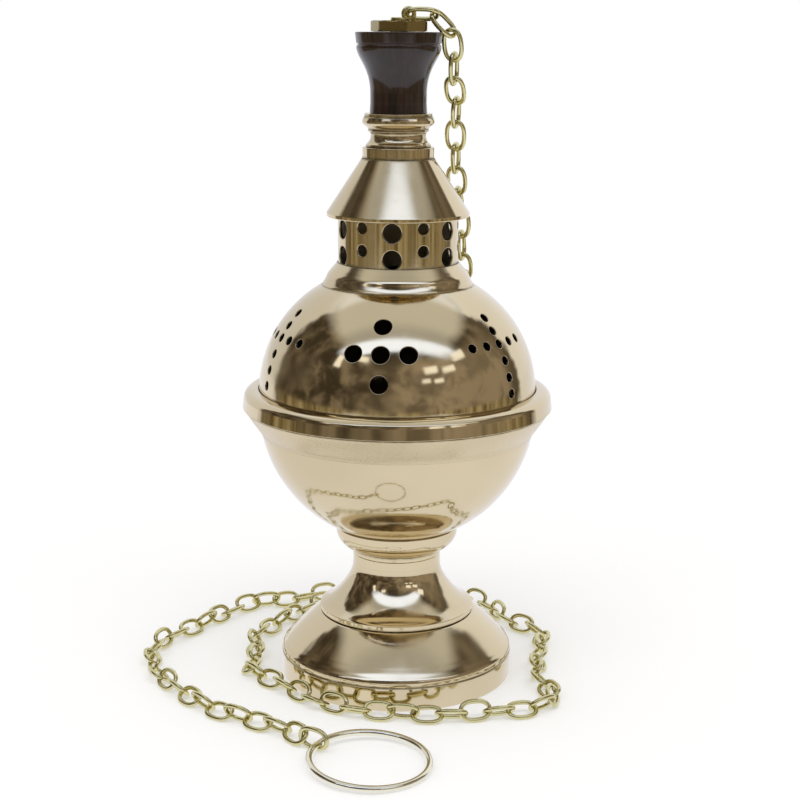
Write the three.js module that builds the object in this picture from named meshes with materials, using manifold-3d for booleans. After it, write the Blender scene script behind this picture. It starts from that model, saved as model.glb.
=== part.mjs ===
// A brass censer on a single chain: foot, bowl, perforated lid, wood handle, swivel eye, chain and ring.
// Millimetres, +Z up, the floor at z = 0, the body's axis on Z, the front towards -Y.

import * as THREE from 'three';
import { mergeVertices } from 'three/addons/utils/BufferGeometryUtils.js';
import Module from 'manifold-3d';

const manifold = await Module();
manifold.setup();

// Shared sizes
const sheet = 1.0; // wall of the spun brass
const seatGap = 0.3; // between two pieces that bear on each other
const boreGap = 0.4; // between a shank and the hole it passes through
const bigSteps = 32; // facets round the bowl and the lid
const smallSteps = 20; // facets round the stem, the handle and its fittings

// Foot
const footRadius = 41.4;
const footRimWidth = 3.2; // flat ring that stands on the floor
const footEdgeRound = 0.7;
const footTaper = 0.2; // how far the band leans in
const footBandHeight = 8.8;
const shoulderRadius = 27.6;
const shoulderRise = 14.8;
const shoulderFullness = 4.7; // height of the curve's control point over the band
const ledgeWidth = 3.6; // turned in under the stem
const shoulderHeight = footBandHeight + shoulderRise;

// Stem
const stemRadius = 15.6;
const stemHeight = 20.6;
const stemEdge = 0.9;
const stemInset = 0.2;
const neckLength = 5.0; // straight part above the flare
const flareDrop = 5.3; // from the neck's lower end down to the curve's control point
const stemTop = shoulderHeight + seatGap + stemHeight;

// Bowl, a part of a sphere, and the cup that carries it
const bowlRadius = 48.6;
const cupRadius = 22.0;
const cupHeight = 9.96;
const cupNeckStep = 0.4; // beyond the stem's neck
const cupTop = stemTop + seatGap + cupHeight;
const bowlCentre = cupTop + seatGap + Math.sqrt(bowlRadius ** 2 - cupRadius ** 2); // where the lid meets the rim

// Rim ring of the bowl, with a ledge that the lid's lugs lock under
const rimStandOut = 5.1;
const rimDrop = 9.1;
const ledgeReach = 4.6; // inwards from the bowl's outside
const ledgeThickness = 1.7;
const rimTop = bowlCentre - seatGap;
const rimRadius = bowlRadius + rimStandOut;
const ledgeRadius = bowlRadius - ledgeReach;

// Screw that holds foot, cup and bowl together
const screwRadius = 3.0;
const screwHeadRadius = 5.5;
const screwHeadHeight = 3.0;
const screwHeadRound = 1.1;
const screwBelow = 8.5; // its end under the stem's top
const washerRadius = 8.0;
const washerThickness = 0.9;
const nutFlats = 10.0;
const nutHeight = 3.2;

// Fire cup for the charcoal
const fireCupFloorRadius = 21.5;
const fireCupRoom = 10.6; // from its rim to the bowl's outside
const fireCupDrop = 11.4; // from the lid's seat down to its rim
const fireCupWall = 0.9;
const fireCupRadius = bowlRadius - fireCupRoom;
const fireCupTop = bowlCentre - fireCupDrop;

// Lid
const bandOverhang = 0.6; // beyond the rim ring
const bandTaper = 0.4;
const bandEdgeRise = 3.9; // to the band's sharp edge
const bandHeight = 6.6;
const domeSkirt = 3.5; // upright part of the dome's wall
const domeRise = 44.8;
const domePower = 2.2; // 2 would be an ellipse
const crownLedge = 0.8; // the lantern stands on it
const bandRadius = rimRadius + bandOverhang;
const domeRadius = bowlRadius;
const domeFoot = bowlCentre + domeSkirt;

// Bayonet lugs inside the lid
const lugCount = 3;
const lugHalfAngle = 5; // degrees
const lugNotchGap = 1.3; // degrees each side in the rim's notch
const lugThickness = 1.4;
const lugTab = 3.4; // height of the tab that is riveted to the dome
const lugReach = 2.4; // how far the toe goes under the ledge
const lugClearance = 0.8;

// Lantern, its collar and the roof
const lanternRadius = 20.8;
const lanternHeight = 20.24;
const collarStandOut = 5.2;
const collarHeight = 7.8;
const collarRadius = lanternRadius + collarStandOut;
const crownRadius = lanternRadius - sheet - crownLedge;
const eaveOverhang = 3.9;
const eaveRound = 0.5;
const eaveHeight = 1.6;
const roofHeight = 19.9;
const roofTopRadius = 12.5;
const roofTopRound = 0.4;
const roofWall = 0.9;
const eaveRadius = lanternRadius + eaveOverhang;

// Holes for the smoke: azimuths in degrees from the front towards +X, and rises above the dome's or lantern's foot
const crossAzimuth = -7.3;
const crossHoleRadius = 3.0;
const crossRises = [13.7, 22.5, 30.7];
const crossArm = 9.8;
const latinAzimuth = 53.5;
const latinHoleRadius = 1.6;
const latinRises = [7.1, 12.3, 17.7, 23.1, 27.7, 31.5];
const latinArmRow = 3; // the arm crosses at this hole of the column
const latinArm = 6.6;
const lanternPairs = 6;
const lanternLarge = { azimuth: -5.5, radius: 3.2, rises: [8.1, 16.3] };
const lanternSmall = { azimuth: 24.5, radius: 1.95, rises: [10.7, 17.5] };

// Handle and its fittings
const ferruleInset = 0.2;
const ferruleHeight = 3.6;
const ferruleEdge = 0.4;
const mouldingHeight = 10.7;
const mouldingWaist = 9.4;
const handleHeight = 26.5;
const handleTopRadius = 15.0;
const handleWaist = 9.6;
const handleFootFlare = 0.2;
const handleRim = 3.6; // height of the rim above the groove
const handleRimStep = 0.7; // the rim stands out over the flare
const handleGroove = 0.4;
const handleEdge = 0.5;
const rodRadius = 3.0;
const rodBelow = 6.5; // its end under the roof's top
const rodWasherRadius = 9.5;
const topNutFlats = 17.0;
const topNutHeight = 3.4;
const ferruleRadius = roofTopRadius - ferruleInset;

// Swivel eye
const eyeWire = 1.4;
const eyeRadius = 2.4;
const eyeShift = 3.0; // the loop stands off the axis, towards the chain
const eyeLift = 0.4; // and off the nut, so that the first link passes over it
const buttonRadius = 2.8;
const buttonHeight = 1.0;
const buttonRound = 0.5;
const swivelPinRadius = 1.1;
const swivelPinLength = 7.0;

// Chain: oval links, their pitch, and the envelope that stands for a run of them
const linkPitch = 8.0;
const linkWidth = 7.8;
const linkWire = 1.4;
const linkGap = 0.7; // between two end bars
const chainEnvelope = 6.2;
const chainFloor = chainEnvelope / 2;
const hangingSteps = 24;
const floorSteps = 60;

// Ring at the chain's end
const ringOuter = 20.3;
const ringWire = 2.3;
const ringCentre = [-8.2, -83.2];
const ringLift = 3.2; // height of its wire where the last link holds it
const ringAzimuth = 147; // direction of the last link, degrees from +X

// Finishes
const brass = new THREE.MeshStandardMaterial({ color: 0xcdb98a, roughness: 0.12, metalness: 1.0 });
const chainBrass = new THREE.MeshStandardMaterial({ color: 0xb3a468, roughness: 0.25, metalness: 1.0 });
const nutBrass = new THREE.MeshStandardMaterial({ color: 0x8f7d45, roughness: 0.3, metalness: 1.0 });
const wood = new THREE.MeshStandardMaterial({ color: 0x2c1e18, roughness: 0.15, metalness: 0.0 });
const steel = new THREE.MeshStandardMaterial({ color: 0x9a9c9e, roughness: 0.35, metalness: 1.0 });
const blackened = new THREE.MeshStandardMaterial({ color: 0x4d463c, roughness: 0.6, metalness: 0.8 });

const radians = THREE.MathUtils.degToRad;
const model = new THREE.Group();

function addPiece(name, geometry, material, parent = model) {
  const mesh = new THREE.Mesh(geometry, material);
  mesh.name = name;
  parent.add(mesh);
  return mesh;
}

// A closed outline of [radius, height] points, turned about Z.
function turned(outline, steps) {
  const area = THREE.ShapeUtils.area(outline.map(([x, y]) => new THREE.Vector2(x, y)));
  const points = (area > 0 ? outline : [...outline].reverse()).map(([x, y]) => new THREE.Vector2(x, y));
  points.push(points[0].clone());
  const geometry = new THREE.LatheGeometry(points, steps);
  geometry.rotateX(Math.PI / 2);
  return geometry;
}

// A sheet of one thickness that follows a line of [radius, height] points; its body lies to the line's left.
function spun(line, thickness, steps) {
  const inner = line.map(([r, z], i) => {
    const before = line[Math.max(i - 1, 0)];
    const after = line[Math.min(i + 1, line.length - 1)];
    const into = new THREE.Vector2(r - before[0], z - before[1]);
    const out = new THREE.Vector2(after[0] - r, after[1] - z);
    if (i === 0) into.copy(out);
    if (i === line.length - 1) out.copy(into);
    into.normalize();
    out.normalize();
    const bisector = into.clone().add(out).normalize();
    const stretch = thickness / Math.max(bisector.dot(into), 0.5);
    return [Math.max(r - bisector.y * stretch, 0), z + bisector.x * stretch];
  });
  return turned([...line, ...inner.reverse()], steps);
}

// An outline drawn on a unit square, stretched between two radii and two heights.
function stretched(shape, fromRadius, toRadius, low, high) {
  return shape.map(([x, y]) => [fromRadius + (toRadius - fromRadius) * x, low + (high - low) * y]);
}

function curvePoints(start, control, end, count) {
  const curve = new THREE.QuadraticBezierCurve(...[start, control, end].map(([x, y]) => new THREE.Vector2(x, y)));
  return curve.getPoints(count).map((p) => [p.x, p.y]);
}

function toSolid(geometry) {
  const bare = geometry.clone();
  bare.deleteAttribute('normal');
  bare.deleteAttribute('uv');
  const merged = mergeVertices(bare);
  const index = merged.index ?? { array: [...Array(merged.attributes.position.count).keys()] };
  const vertProperties = new Float32Array(merged.attributes.position.array);
  const triVerts = new Uint32Array(index.array);
  return new manifold.Manifold(new manifold.Mesh({ numProp: 3, vertProperties, triVerts }));
}

function fromSolid(solid) {
  const mesh = solid.getMesh();
  const geometry = new THREE.BufferGeometry();
  geometry.setAttribute('position', new THREE.BufferAttribute(mesh.vertProperties, 3));
  geometry.setIndex(new THREE.BufferAttribute(mesh.triVerts, 1));
  geometry.computeVertexNormals();
  return geometry;
}

function cut(geometry, tools) {
  return fromSolid(tools.reduce((solid, tool) => solid.subtract(toSolid(tool)), toSolid(geometry)));
}

function joined(geometries) {
  const [first, ...others] = geometries.map(toSolid);
  return fromSolid(others.reduce((solid, other) => solid.add(other), first));
}

// A drill that comes in towards the axis at an azimuth and a height.
function radialDrill(radius, azimuth, height, from, to, sides) {
  const drill = new THREE.CylinderGeometry(radius, radius, to - from, sides);
  drill.translate(0, -(from + to) / 2, 0);
  drill.rotateZ(radians(azimuth));
  drill.translate(0, 0, height);
  return drill;
}

function hexNut(flats, height, bore) {
  const outline = new THREE.Shape();
  for (let side = 0; side < 6; side++) {
    const angle = radians(side * 60 + 20);
    const corner = flats / 2 / Math.cos(radians(30));
    outline[side ? 'lineTo' : 'moveTo'](corner * Math.sin(angle), -corner * Math.cos(angle));
  }
  outline.closePath();
  outline.holes.push(new THREE.Path().absarc(0, 0, bore, 0, Math.PI * 2, true));
  return new THREE.ExtrudeGeometry(outline, { depth: height, bevelEnabled: false, curveSegments: 8 });
}

function washer(radius, bore, bottom, thickness) {
  const top = bottom + thickness;
  return turned([[bore, bottom], [radius, bottom], [radius, top], [bore, top]], smallSteps);
}

// Radius of the bowl's outside, and of the dome's, at a height, and the dome's height at a radius
const bowlAt = (z, radius = bowlRadius) => Math.sqrt(radius ** 2 - (bowlCentre - z) ** 2);
const bowlHeightAt = (r, radius = bowlRadius) => bowlCentre - Math.sqrt(radius ** 2 - r ** 2);
const domeAt = (z) => domeRadius * (1 - ((z - domeFoot) / domeRise) ** domePower) ** (1 / domePower);
const domeHeightAt = (r) => domeFoot + domeRise * (1 - (r / domeRadius) ** domePower) ** (1 / domePower);

function addFoot() {
  const crease = [footRadius - footTaper, footBandHeight];
  const pull = [crease[0] - footTaper, footBandHeight + shoulderFullness];
  const line = [
    [footRadius - footRimWidth, 0],
    [footRadius - footEdgeRound, 0],
    [footRadius, footEdgeRound],
    ...curvePoints(crease, pull, [shoulderRadius, shoulderHeight], 5),
    [shoulderRadius - ledgeWidth, shoulderHeight],
  ];
  addPiece('foot_base', spun(line, sheet, bigSteps), brass);
}

function addStem() {
  const foot = shoulderRadius - stemInset;
  const bottom = shoulderHeight + seatGap;
  const flareTop = stemTop - neckLength;
  const line = [
    [foot, bottom],
    ...curvePoints([foot, bottom + stemEdge], [stemRadius, flareTop - flareDrop], [stemRadius, flareTop], 5),
    [stemRadius, stemTop],
    [screwRadius + boreGap, stemTop],
  ];
  addPiece('foot_stem', spun(line, sheet, smallSteps + 4), brass);
}

function addCup() {
  const bore = screwRadius + boreGap;
  const seatAt = (r) => [r, bowlHeightAt(r) - seatGap];
  const flare = [[0, 0], [0.32, 0.16], [0.67, 0.33], [0.85, 0.49], [0.95, 0.65]];
  const outline = [
    [bore, stemTop + seatGap],
    ...stretched(flare, stemRadius + cupNeckStep, cupRadius, stemTop + seatGap, cupTop),
    ...[cupRadius, cupRadius * 0.75, cupRadius * 0.45, bore].map(seatAt),
  ];
  addPiece('stem_cup', turned(outline, smallSteps + 4), brass);
}

function addBowl() {
  const bore = screwRadius + boreGap;
  const top = rimTop - ledgeThickness - seatGap;
  const lowest = Math.asin(bore / bowlRadius);
  const highest = Math.acos((bowlCentre - top) / bowlRadius);
  const steps = 7;
  const line = [];
  for (let i = 0; i <= steps; i++) {
    const angle = lowest + ((highest - lowest) * i) / steps;
    line.push([bowlRadius * Math.sin(angle), bowlCentre - bowlRadius * Math.cos(angle)]);
  }
  addPiece('bowl_shell', spun(line, sheet, bigSteps), brass);
}

// The lugs' toes drop through these notches and turn under the ledge.
function lugSector(inner, outer, low, high, halfAngle, turn) {
  const sector = new THREE.Shape();
  const middle = radians(turn - 90);
  sector.absarc(0, 0, outer, middle - radians(halfAngle), middle + radians(halfAngle), false);
  sector.absarc(0, 0, inner, middle + radians(halfAngle), middle - radians(halfAngle), true);
  const geometry = new THREE.ExtrudeGeometry(sector, { depth: high - low, bevelEnabled: false, curveSegments: 3 });
  geometry.translate(0, 0, low);
  return geometry;
}

const lugTurn = (index) => 30 + (index * 360) / lugCount;
const legOuter = ledgeRadius - lugClearance;
const legInner = legOuter - lugThickness;
const toeOuter = ledgeRadius + lugReach;

function addRimRing() {
  const bottom = rimTop - rimDrop;
  const bowlTop = rimTop - ledgeThickness;
  const middle = bottom + (bowlTop - bottom) / 2;
  const lip = [[0.35, 0.2], [0.65, 0.42], [0.84, 0.66], [0.96, 0.88], [1, 1]];
  const outline = [
    [ledgeRadius, rimTop],
    [ledgeRadius, bowlTop],
    [bowlRadius + seatGap, bowlTop],
    [bowlAt(middle) + seatGap, middle],
    [bowlAt(bottom) + seatGap, bottom],
    ...stretched(lip, bowlRadius, rimRadius, bottom, rimTop),
  ];
  const half = lugHalfAngle + lugNotchGap;
  const notches = [...Array(lugCount).keys()].map((i) =>
    lugSector(ledgeRadius / 2, toeOuter + lugClearance, bottom, rimTop + sheet, half, lugTurn(i)));
  addPiece('bowl_rim', cut(turned(outline, bigSteps), notches), brass);
}

function addScrew() {
  const bottom = bowlHeightAt(screwHeadRadius, bowlRadius - sheet) + seatGap;
  const top = bottom + screwHeadHeight;
  const end = stemTop - screwBelow;
  const outline = [
    [0, end], [screwRadius, end], [screwRadius, bottom], [screwHeadRadius, bottom],
    [screwHeadRadius, top - screwHeadRound], [screwHeadRadius - screwHeadRound, top], [0, top],
  ];
  addPiece('stem_screw', turned(outline, 12), steel);
  const bore = screwRadius + boreGap;
  const washerTop = stemTop - sheet - seatGap;
  addPiece('stem_washer', washer(washerRadius, bore, washerTop - washerThickness, washerThickness), steel);
  const nut = addPiece('stem_nut', hexNut(nutFlats, nutHeight, bore), steel);
  nut.position.z = washerTop - washerThickness - seatGap - nutHeight;
}

function addFireCup() {
  const floor = bowlHeightAt(fireCupFloorRadius, bowlRadius - sheet) + 1.5 * seatGap;
  const wall = [[0, 0], [0.2, 0.09], [0.55, 0.34], [0.85, 0.68], [1, 1]];
  const line = [[0, floor], ...stretched(wall, fireCupFloorRadius, fireCupRadius, floor, fireCupTop)];
  addPiece('fire_cup', spun(line, fireCupWall, bigSteps - 4), blackened);
}

function addLidBand() {
  const inner = domeRadius + seatGap;
  const edge = bandRadius - bandTaper;
  const crown = [[1, 0], [0.9, 0.48], [0.7, 0.85], [0.42, 1], [0.18, 0.85], [0, 0.63]];
  const outline = [
    [inner, bowlCentre],
    [bandRadius, bowlCentre],
    ...stretched(crown, inner, edge, bowlCentre + bandEdgeRise, bowlCentre + bandHeight),
  ];
  addPiece('lid_band', turned(outline, bigSteps), brass);
}

function smokeHoles() {
  const outer = domeRadius + sheet;
  const inner = domeRadius / 2;
  const drills = [];
  const drillAt = (radius, azimuth, height, sides) =>
    drills.push(radialDrill(radius, azimuth, height, inner, outer, sides));
  for (const turn of [0, 120, 240]) {
    const crossHeights = crossRises.map((rise) => domeFoot + rise);
    const latinHeights = latinRises.map((rise) => domeFoot + rise);
    const middle = crossHeights[1];
    crossHeights.forEach((height) => drillAt(crossHoleRadius, crossAzimuth + turn, height, 8));
    for (const side of [-1, 1]) {
      const lean = THREE.MathUtils.radToDeg(crossArm / domeAt(middle));
      drillAt(crossHoleRadius, crossAzimuth + turn + side * lean, middle, 8);
    }
    latinHeights.forEach((height) => drillAt(latinHoleRadius, latinAzimuth + turn, height, 6));
    for (const place of [-2, -1, 1, 2]) {
      const height = latinHeights[latinArmRow];
      const lean = THREE.MathUtils.radToDeg((place * latinArm) / domeAt(height));
      drillAt(latinHoleRadius, latinAzimuth + turn + lean, height, 6);
    }
  }
  return drills;
}

function addDome() {
  const line = [[domeRadius, bowlCentre + seatGap]];
  const steps = 6;
  const last = domeHeightAt(crownRadius);
  for (let i = 0; i <= steps; i++) {
    const share = Math.sin((Math.PI / 2) * (i / steps));
    const height = domeFoot + (last - domeFoot) * share;
    line.push([domeAt(height), height]);
  }
  addPiece('dome_shell', cut(spun(line, sheet, bigSteps), smokeHoles()), brass);
}

function addLugs() {
  const wallInner = (domeRadius - sheet) * Math.cos(Math.PI / bigSteps) - seatGap;
  const armLow = bowlCentre + 2 * seatGap;
  const toeLow = rimTop - ledgeThickness - 2 * lugThickness;
  for (let i = 0; i < lugCount; i++) {
    const sector = (inner, outer, low, high) => lugSector(inner, outer, low, high, lugHalfAngle, lugTurn(i));
    const lug = joined([
      sector(wallInner - lugThickness, wallInner, armLow, armLow + lugTab),
      sector(legInner, wallInner, armLow, armLow + lugThickness),
      sector(legInner, legOuter, toeLow, armLow + lugThickness),
      sector(legInner, toeOuter, toeLow, toeLow + lugThickness),
    ]);
    addPiece(`bayonet_lug_${i + 1}`, lug, brass);
  }
}

function addCollar() {
  const bottom = domeHeightAt(collarRadius) + seatGap;
  const bore = lanternRadius + seatGap;
  const top = bottom + collarHeight;
  const cove = [[1, 0], [0.93, 0.17], [0.8, 0.33], [0.57, 0.54], [0.25, 0.73], [0.1, 0.87], [0.08, 1], [0, 1], [0, 0.67]];
  const foot = collarRadius - seatGap * 3;
  const outline = [[foot, domeHeightAt(foot) + seatGap], ...stretched(cove, bore, collarRadius, bottom, top)];
  addPiece('lid_collar', turned(outline, smallSteps + 4), brass);
}

function addLantern() {
  const inner = lanternRadius - sheet;
  const bottom = domeHeightAt(inner) + seatGap;
  const top = bottom + lanternHeight;
  const wall = [[inner, bottom], [lanternRadius, bottom], [lanternRadius, top], [inner, top]];
  const drills = [];
  for (const { azimuth, radius, rises } of [lanternLarge, lanternSmall]) {
    for (let i = 0; i < lanternPairs; i++) {
      const turn = azimuth + (i * 360) / lanternPairs;
      rises.forEach((rise) =>
        drills.push(radialDrill(radius, turn, bottom + rise, inner - sheet * 3, lanternRadius + sheet, 8)));
    }
  }
  addPiece('lantern_drum', cut(turned(wall, bigSteps), drills), brass);
  return top;
}

function addRoof(lanternTop) {
  const eave = lanternTop + seatGap;
  const roofTop = eave + roofHeight;
  const line = [
    [lanternRadius - sheet, eave],
    [eaveRadius - eaveRound, eave],
    [eaveRadius, eave + eaveRound],
    [eaveRadius, eave + eaveHeight],
    [eaveRadius - eaveRound, eave + eaveHeight + 2 * eaveRound],
    [roofTopRadius, roofTop - roofTopRound],
    [roofTopRadius - roofTopRound, roofTop],
    [rodRadius + boreGap, roofTop],
  ];
  addPiece('cone_roof', spun(line, roofWall, smallSteps + 4), brass);
  return roofTop;
}

function addFerrule(roofTop) {
  const bore = rodRadius + boreGap;
  const bottom = roofTop + seatGap;
  const top = bottom + ferruleHeight;
  const band = [
    [bore, bottom],
    [ferruleRadius, bottom],
    [ferruleRadius, top - ferruleEdge],
    [ferruleRadius - ferruleEdge, top],
    [bore, top],
  ];
  addPiece('ferrule_band', turned(band, smallSteps), brass);

  const foot = top + seatGap;
  const lip = foot + mouldingHeight;
  const profile = [
    [0.66, 0], [0.52, 0.07], [0.21, 0.15], [0, 0.24], [0, 0.35], [0.21, 0.39], [0.21, 0.49], [0.1, 0.52],
    [0.55, 0.64], [1, 0.74], [1, 0.81], [0.76, 0.96], [0.48, 1],
  ];
  const moulding = [[bore, foot], ...stretched(profile, mouldingWaist, ferruleRadius, foot, lip), [bore, lip]];
  addPiece('neck_moulding', turned(moulding, smallSteps), brass);
  return lip;
}

function addHandle(seat) {
  const bottom = seat + seatGap;
  const top = bottom + handleHeight;
  const bore = rodRadius + boreGap;
  const groove = top - handleRim;
  const flareEnd = handleTopRadius - handleRimStep;
  const waist = new THREE.Vector2(handleWaist, bottom + handleHeight * 0.234);
  const waistPull = new THREE.Vector2(handleWaist, bottom + handleHeight * 0.555);
  const flarePull = new THREE.Vector2(flareEnd, bottom + handleHeight * 0.668);
  const flare = new THREE.CubicBezierCurve(waist, waistPull, flarePull, new THREE.Vector2(flareEnd, groove - handleGroove));
  const outline = [
    [bore, bottom],
    [handleWaist + handleFootFlare, bottom],
    [handleWaist, bottom + handleHeight * 0.113],
    ...flare.getPoints(6).map((p) => [p.x, p.y]),
    [flareEnd - handleGroove, groove],
    [handleTopRadius - handleGroove / 2, groove + handleGroove],
    [handleTopRadius, top - handleEdge],
    [handleTopRadius - handleEdge, top],
    [bore, top],
  ];
  addPiece('wood_handle', turned(outline, smallSteps + 4), wood);
  return top;
}

function addRod(roofTop, handleTop) {
  const nutBottom = handleTop + seatGap;
  const nutTop = nutBottom + topNutHeight;
  const bore = rodRadius + boreGap;
  const topNut = addPiece('top_nut', hexNut(topNutFlats, topNutHeight, bore), nutBrass);
  topNut.position.z = nutBottom;

  const hole = swivelPinRadius + boreGap;
  const holeBottom = nutTop - swivelPinLength - boreGap;
  const end = roofTop - rodBelow;
  const rod = [[0, end], [rodRadius, end], [rodRadius, nutTop], [hole, nutTop], [hole, holeBottom], [0, holeBottom]];
  addPiece('tie_rod', turned(rod, 12), steel);

  const washerTop = roofTop - roofWall - seatGap;
  addPiece('rod_washer', washer(rodWasherRadius, bore, washerTop - washerThickness, washerThickness), steel);
  const nut = addPiece('rod_nut', hexNut(nutFlats, nutHeight, bore), steel);
  nut.position.z = washerTop - washerThickness - seatGap - nutHeight;
  return nutTop;
}

function addSwivelEye(seat) {
  const bottom = seat + seatGap;
  const button = turned([
    [0, bottom - swivelPinLength], [swivelPinRadius, bottom - swivelPinLength], [swivelPinRadius, bottom],
    [buttonRadius, bottom], [buttonRadius, bottom + buttonHeight - buttonRound],
    [buttonRadius - buttonRound, bottom + buttonHeight], [0, bottom + buttonHeight],
  ], 12);
  const loop = new THREE.TorusGeometry(eyeRadius, eyeWire / 2, 6, 16);
  loop.rotateX(Math.PI / 2);
  const centre = new THREE.Vector3(eyeShift, 0, bottom + eyeLift + eyeRadius + eyeWire / 2);
  loop.translate(...centre.toArray());
  addPiece('swivel_eye', joined([button, loop]), chainBrass);
  return centre;
}

// One link between two bearing points, turned about its own length; its end bars stay clear of its neighbours'.
function linkGeometry(from, to, turn) {
  const along = to.clone().sub(from);
  const pitch = along.length();
  const half = (pitch + linkWire + linkGap) / 2;
  const bend = (linkWidth - linkWire) / 2;
  const straight = half - bend;
  const centres = [];
  for (const side of [1, -1]) {
    for (let i = 0; i < 5; i++) {
      const angle = (Math.PI * i) / 4 - Math.PI / 2;
      const x = side * (straight + bend * Math.cos(angle));
      centres.push(new THREE.Vector3(x, side * bend * Math.sin(angle), 0));
    }
  }
  const positions = [];
  const sides = 5;
  centres.forEach((centre, i) => {
    const before = centres[(i + centres.length - 1) % centres.length];
    const after = centres[(i + 1) % centres.length];
    const forward = after.clone().sub(before).normalize();
    const outward = new THREE.Vector3(forward.y, -forward.x, 0);
    for (let k = 0; k < sides; k++) {
      const angle = (2 * Math.PI * k) / sides;
      const point = centre.clone().addScaledVector(outward, (linkWire / 2) * Math.cos(angle));
      point.z += (linkWire / 2) * Math.sin(angle);
      positions.push(...point.toArray());
    }
  });
  const index = [];
  for (let i = 0; i < centres.length; i++) {
    const next = (i + 1) % centres.length;
    for (let k = 0; k < sides; k++) {
      const [a, b] = [i * sides + k, i * sides + ((k + 1) % sides)];
      const [c, d] = [next * sides + k, next * sides + ((k + 1) % sides)];
      index.push(a, c, b, b, c, d);
    }
  }
  const geometry = new THREE.BufferGeometry();
  geometry.setAttribute('position', new THREE.Float32BufferAttribute(positions, 3));
  geometry.setIndex(index);
  geometry.rotateX(radians(turn));
  const place = new THREE.Quaternion().setFromUnitVectors(new THREE.Vector3(1, 0, 0), along.normalize());
  geometry.applyQuaternion(place);
  const middle = from.clone().add(to).multiplyScalar(0.5);
  geometry.translate(middle.x, middle.y, middle.z);
  return geometry;
}

// The first links, out of the eye, over the handle's edge and down: direction, and turn about their own length
const firstLinks = [
  { along: [8.2, 0.3, -0.6], turn: -45 },
  { along: [6.3, 0.8, -5.2], turn: 35 },
  { along: [0.9, 1.5, -8.1], turn: 125 },
  { along: [0.1, 1.9, -8.1], turn: 35 },
];

// The chain from there: behind the roof, over the back of the dome and off the band, then hanging
const hangingRoute = [
  [19.6, 6.6, 208.2], [19.7, 9.6, 196.0], [19.9, 12.4, 184.5], [20.6, 15.6, 173.5], [21.9, 19.1, 164.5],
  [22.4, 19.9, 155.5], [23.0, 21.4, 147.5], [23.4, 23.2, 141.2], [25.0, 29.8, 135.9], [24.6, 37.1, 129.3],
  [21.9, 43.9, 120.6], [18.3, 48.2, 112.4], [16.0, 53.2, 107.2], [13.6, 56.2, 101.5], [11.9, 56.8, 94.0],
  [10.6, 57.2, 82.0], [9.7, 57.6, 67.0], [9.1, 57.6, 52.0], [8.7, 57.6, 37.0], [8.1, 57.7, 23.0],
  [6.4, 58.0, 11.4], [1.8, 58.6, 4.6], [-5.0, 59.6, 3.1],
];
// On the floor, once round the foot and out to the left and the front, where the ring lies
const floorRoute = [
  [-14.0, 60.4], [-24.0, 60.6], [-32.5, 57.6], [-38.3, 50.0], [-44.0, 41.0], [-49.0, 32.0],
  [-52.6, 23.5], [-53.8, 15.5], [-51.4, 7.0], [-51.6, -1.0], [-53.6, -8.0], [-49.5, -14.6], [-42.4, -21.4],
  [-34.8, -30.4], [-26.2, -38.8], [-18.6, -43.8], [-10.2, -46.4], [-1.6, -48.0], [6.8, -49.2], [15.4, -49.2],
  [23.6, -49.0], [32.2, -47.0], [41.2, -45.0], [49.0, -42.2], [54.4, -36.6], [54.6, -28.8], [51.6, -21.4],
  [50.2, -13.0], [51.6, -4.4], [52.4, 4.4], [53.8, 13.6], [55.6, 22.6], [53.0, 30.6], [45.6, 37.8],
  [41.0, 46.0], [37.8, 54.6], [33.0, 62.6], [24.4, 69.4], [13.0, 73.6], [0.0, 75.2], [-13.0, 74.6],
  [-25.0, 71.4], [-36.7, 66.4], [-46.0, 62.4], [-54.6, 60.6], [-62.2, 55.0], [-69.6, 44.0], [-78.2, 31.4],
  [-86.2, 20.6], [-89.8, 9.6], [-88.6, -3.4], [-83.8, -16.6], [-76.6, -27.4], [-68.4, -38.2], [-59.6, -46.8],
  [-50.0, -52.6], [-41.2, -58.2], [-34.6, -63.2],
];

// A run of chain as the tube that its links fill, between two lengths along its route
function chainRun(route, from, to, steps) {
  const whole = route.getLength();
  const points = [];
  for (let i = 0; i <= steps; i++) points.push(route.getPointAt((from + ((to - from) * i) / steps) / whole));
  const section = new THREE.Shape();
  for (let side = 0; side < 8; side++) {
    const angle = (Math.PI * (side + 0.5)) / 4;
    const [x, y] = [Math.cos(angle), Math.sin(angle)].map((v) => (v * chainEnvelope) / 2);
    section[side ? 'lineTo' : 'moveTo'](x, y);
  }
  section.closePath();
  const path = new THREE.CatmullRomCurve3(points);
  return new THREE.ExtrudeGeometry(section, { steps, extrudePath: path, bevelEnabled: false });
}

// Where the chain bends, two end bars come closer, so the next link starts that much further on.
function addFirstLinks(eyeCentre) {
  const bearing = eyeCentre.clone();
  const apart = (linkWire + linkGap) / 2;
  let before;
  firstLinks.forEach(({ along, turn }, i) => {
    const direction = new THREE.Vector3(...along).normalize();
    bearing.addScaledVector(direction, before ? apart * (1 - before.dot(direction)) : eyeRadius - apart);
    before = direction;
    const next = bearing.clone().addScaledVector(direction, linkPitch);
    addPiece(`chain_link_${i + 1}`, linkGeometry(bearing, next, turn), chainBrass);
    bearing.copy(next);
  });
  return bearing;
}

// The last link holds the ring's wire; returns the place where the chain on the floor meets that link.
function addEndLink() {
  const azimuth = radians(ringAzimuth);
  const outward = new THREE.Vector3(Math.cos(azimuth), Math.sin(azimuth), 0);
  const hold = ringOuter - ringWire - linkGap / 2; // the link's near bearing, inside the ring
  const nearEnd = new THREE.Vector3(...ringCentre, linkWidth / 2).addScaledVector(outward, hold);
  const farEnd = nearEnd.clone().addScaledVector(outward, linkPitch);
  addPiece('chain_end_link', linkGeometry(farEnd, nearEnd, 90), chainBrass);
  return farEnd.clone().addScaledVector(outward, linkWire + linkGap);
}

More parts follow.
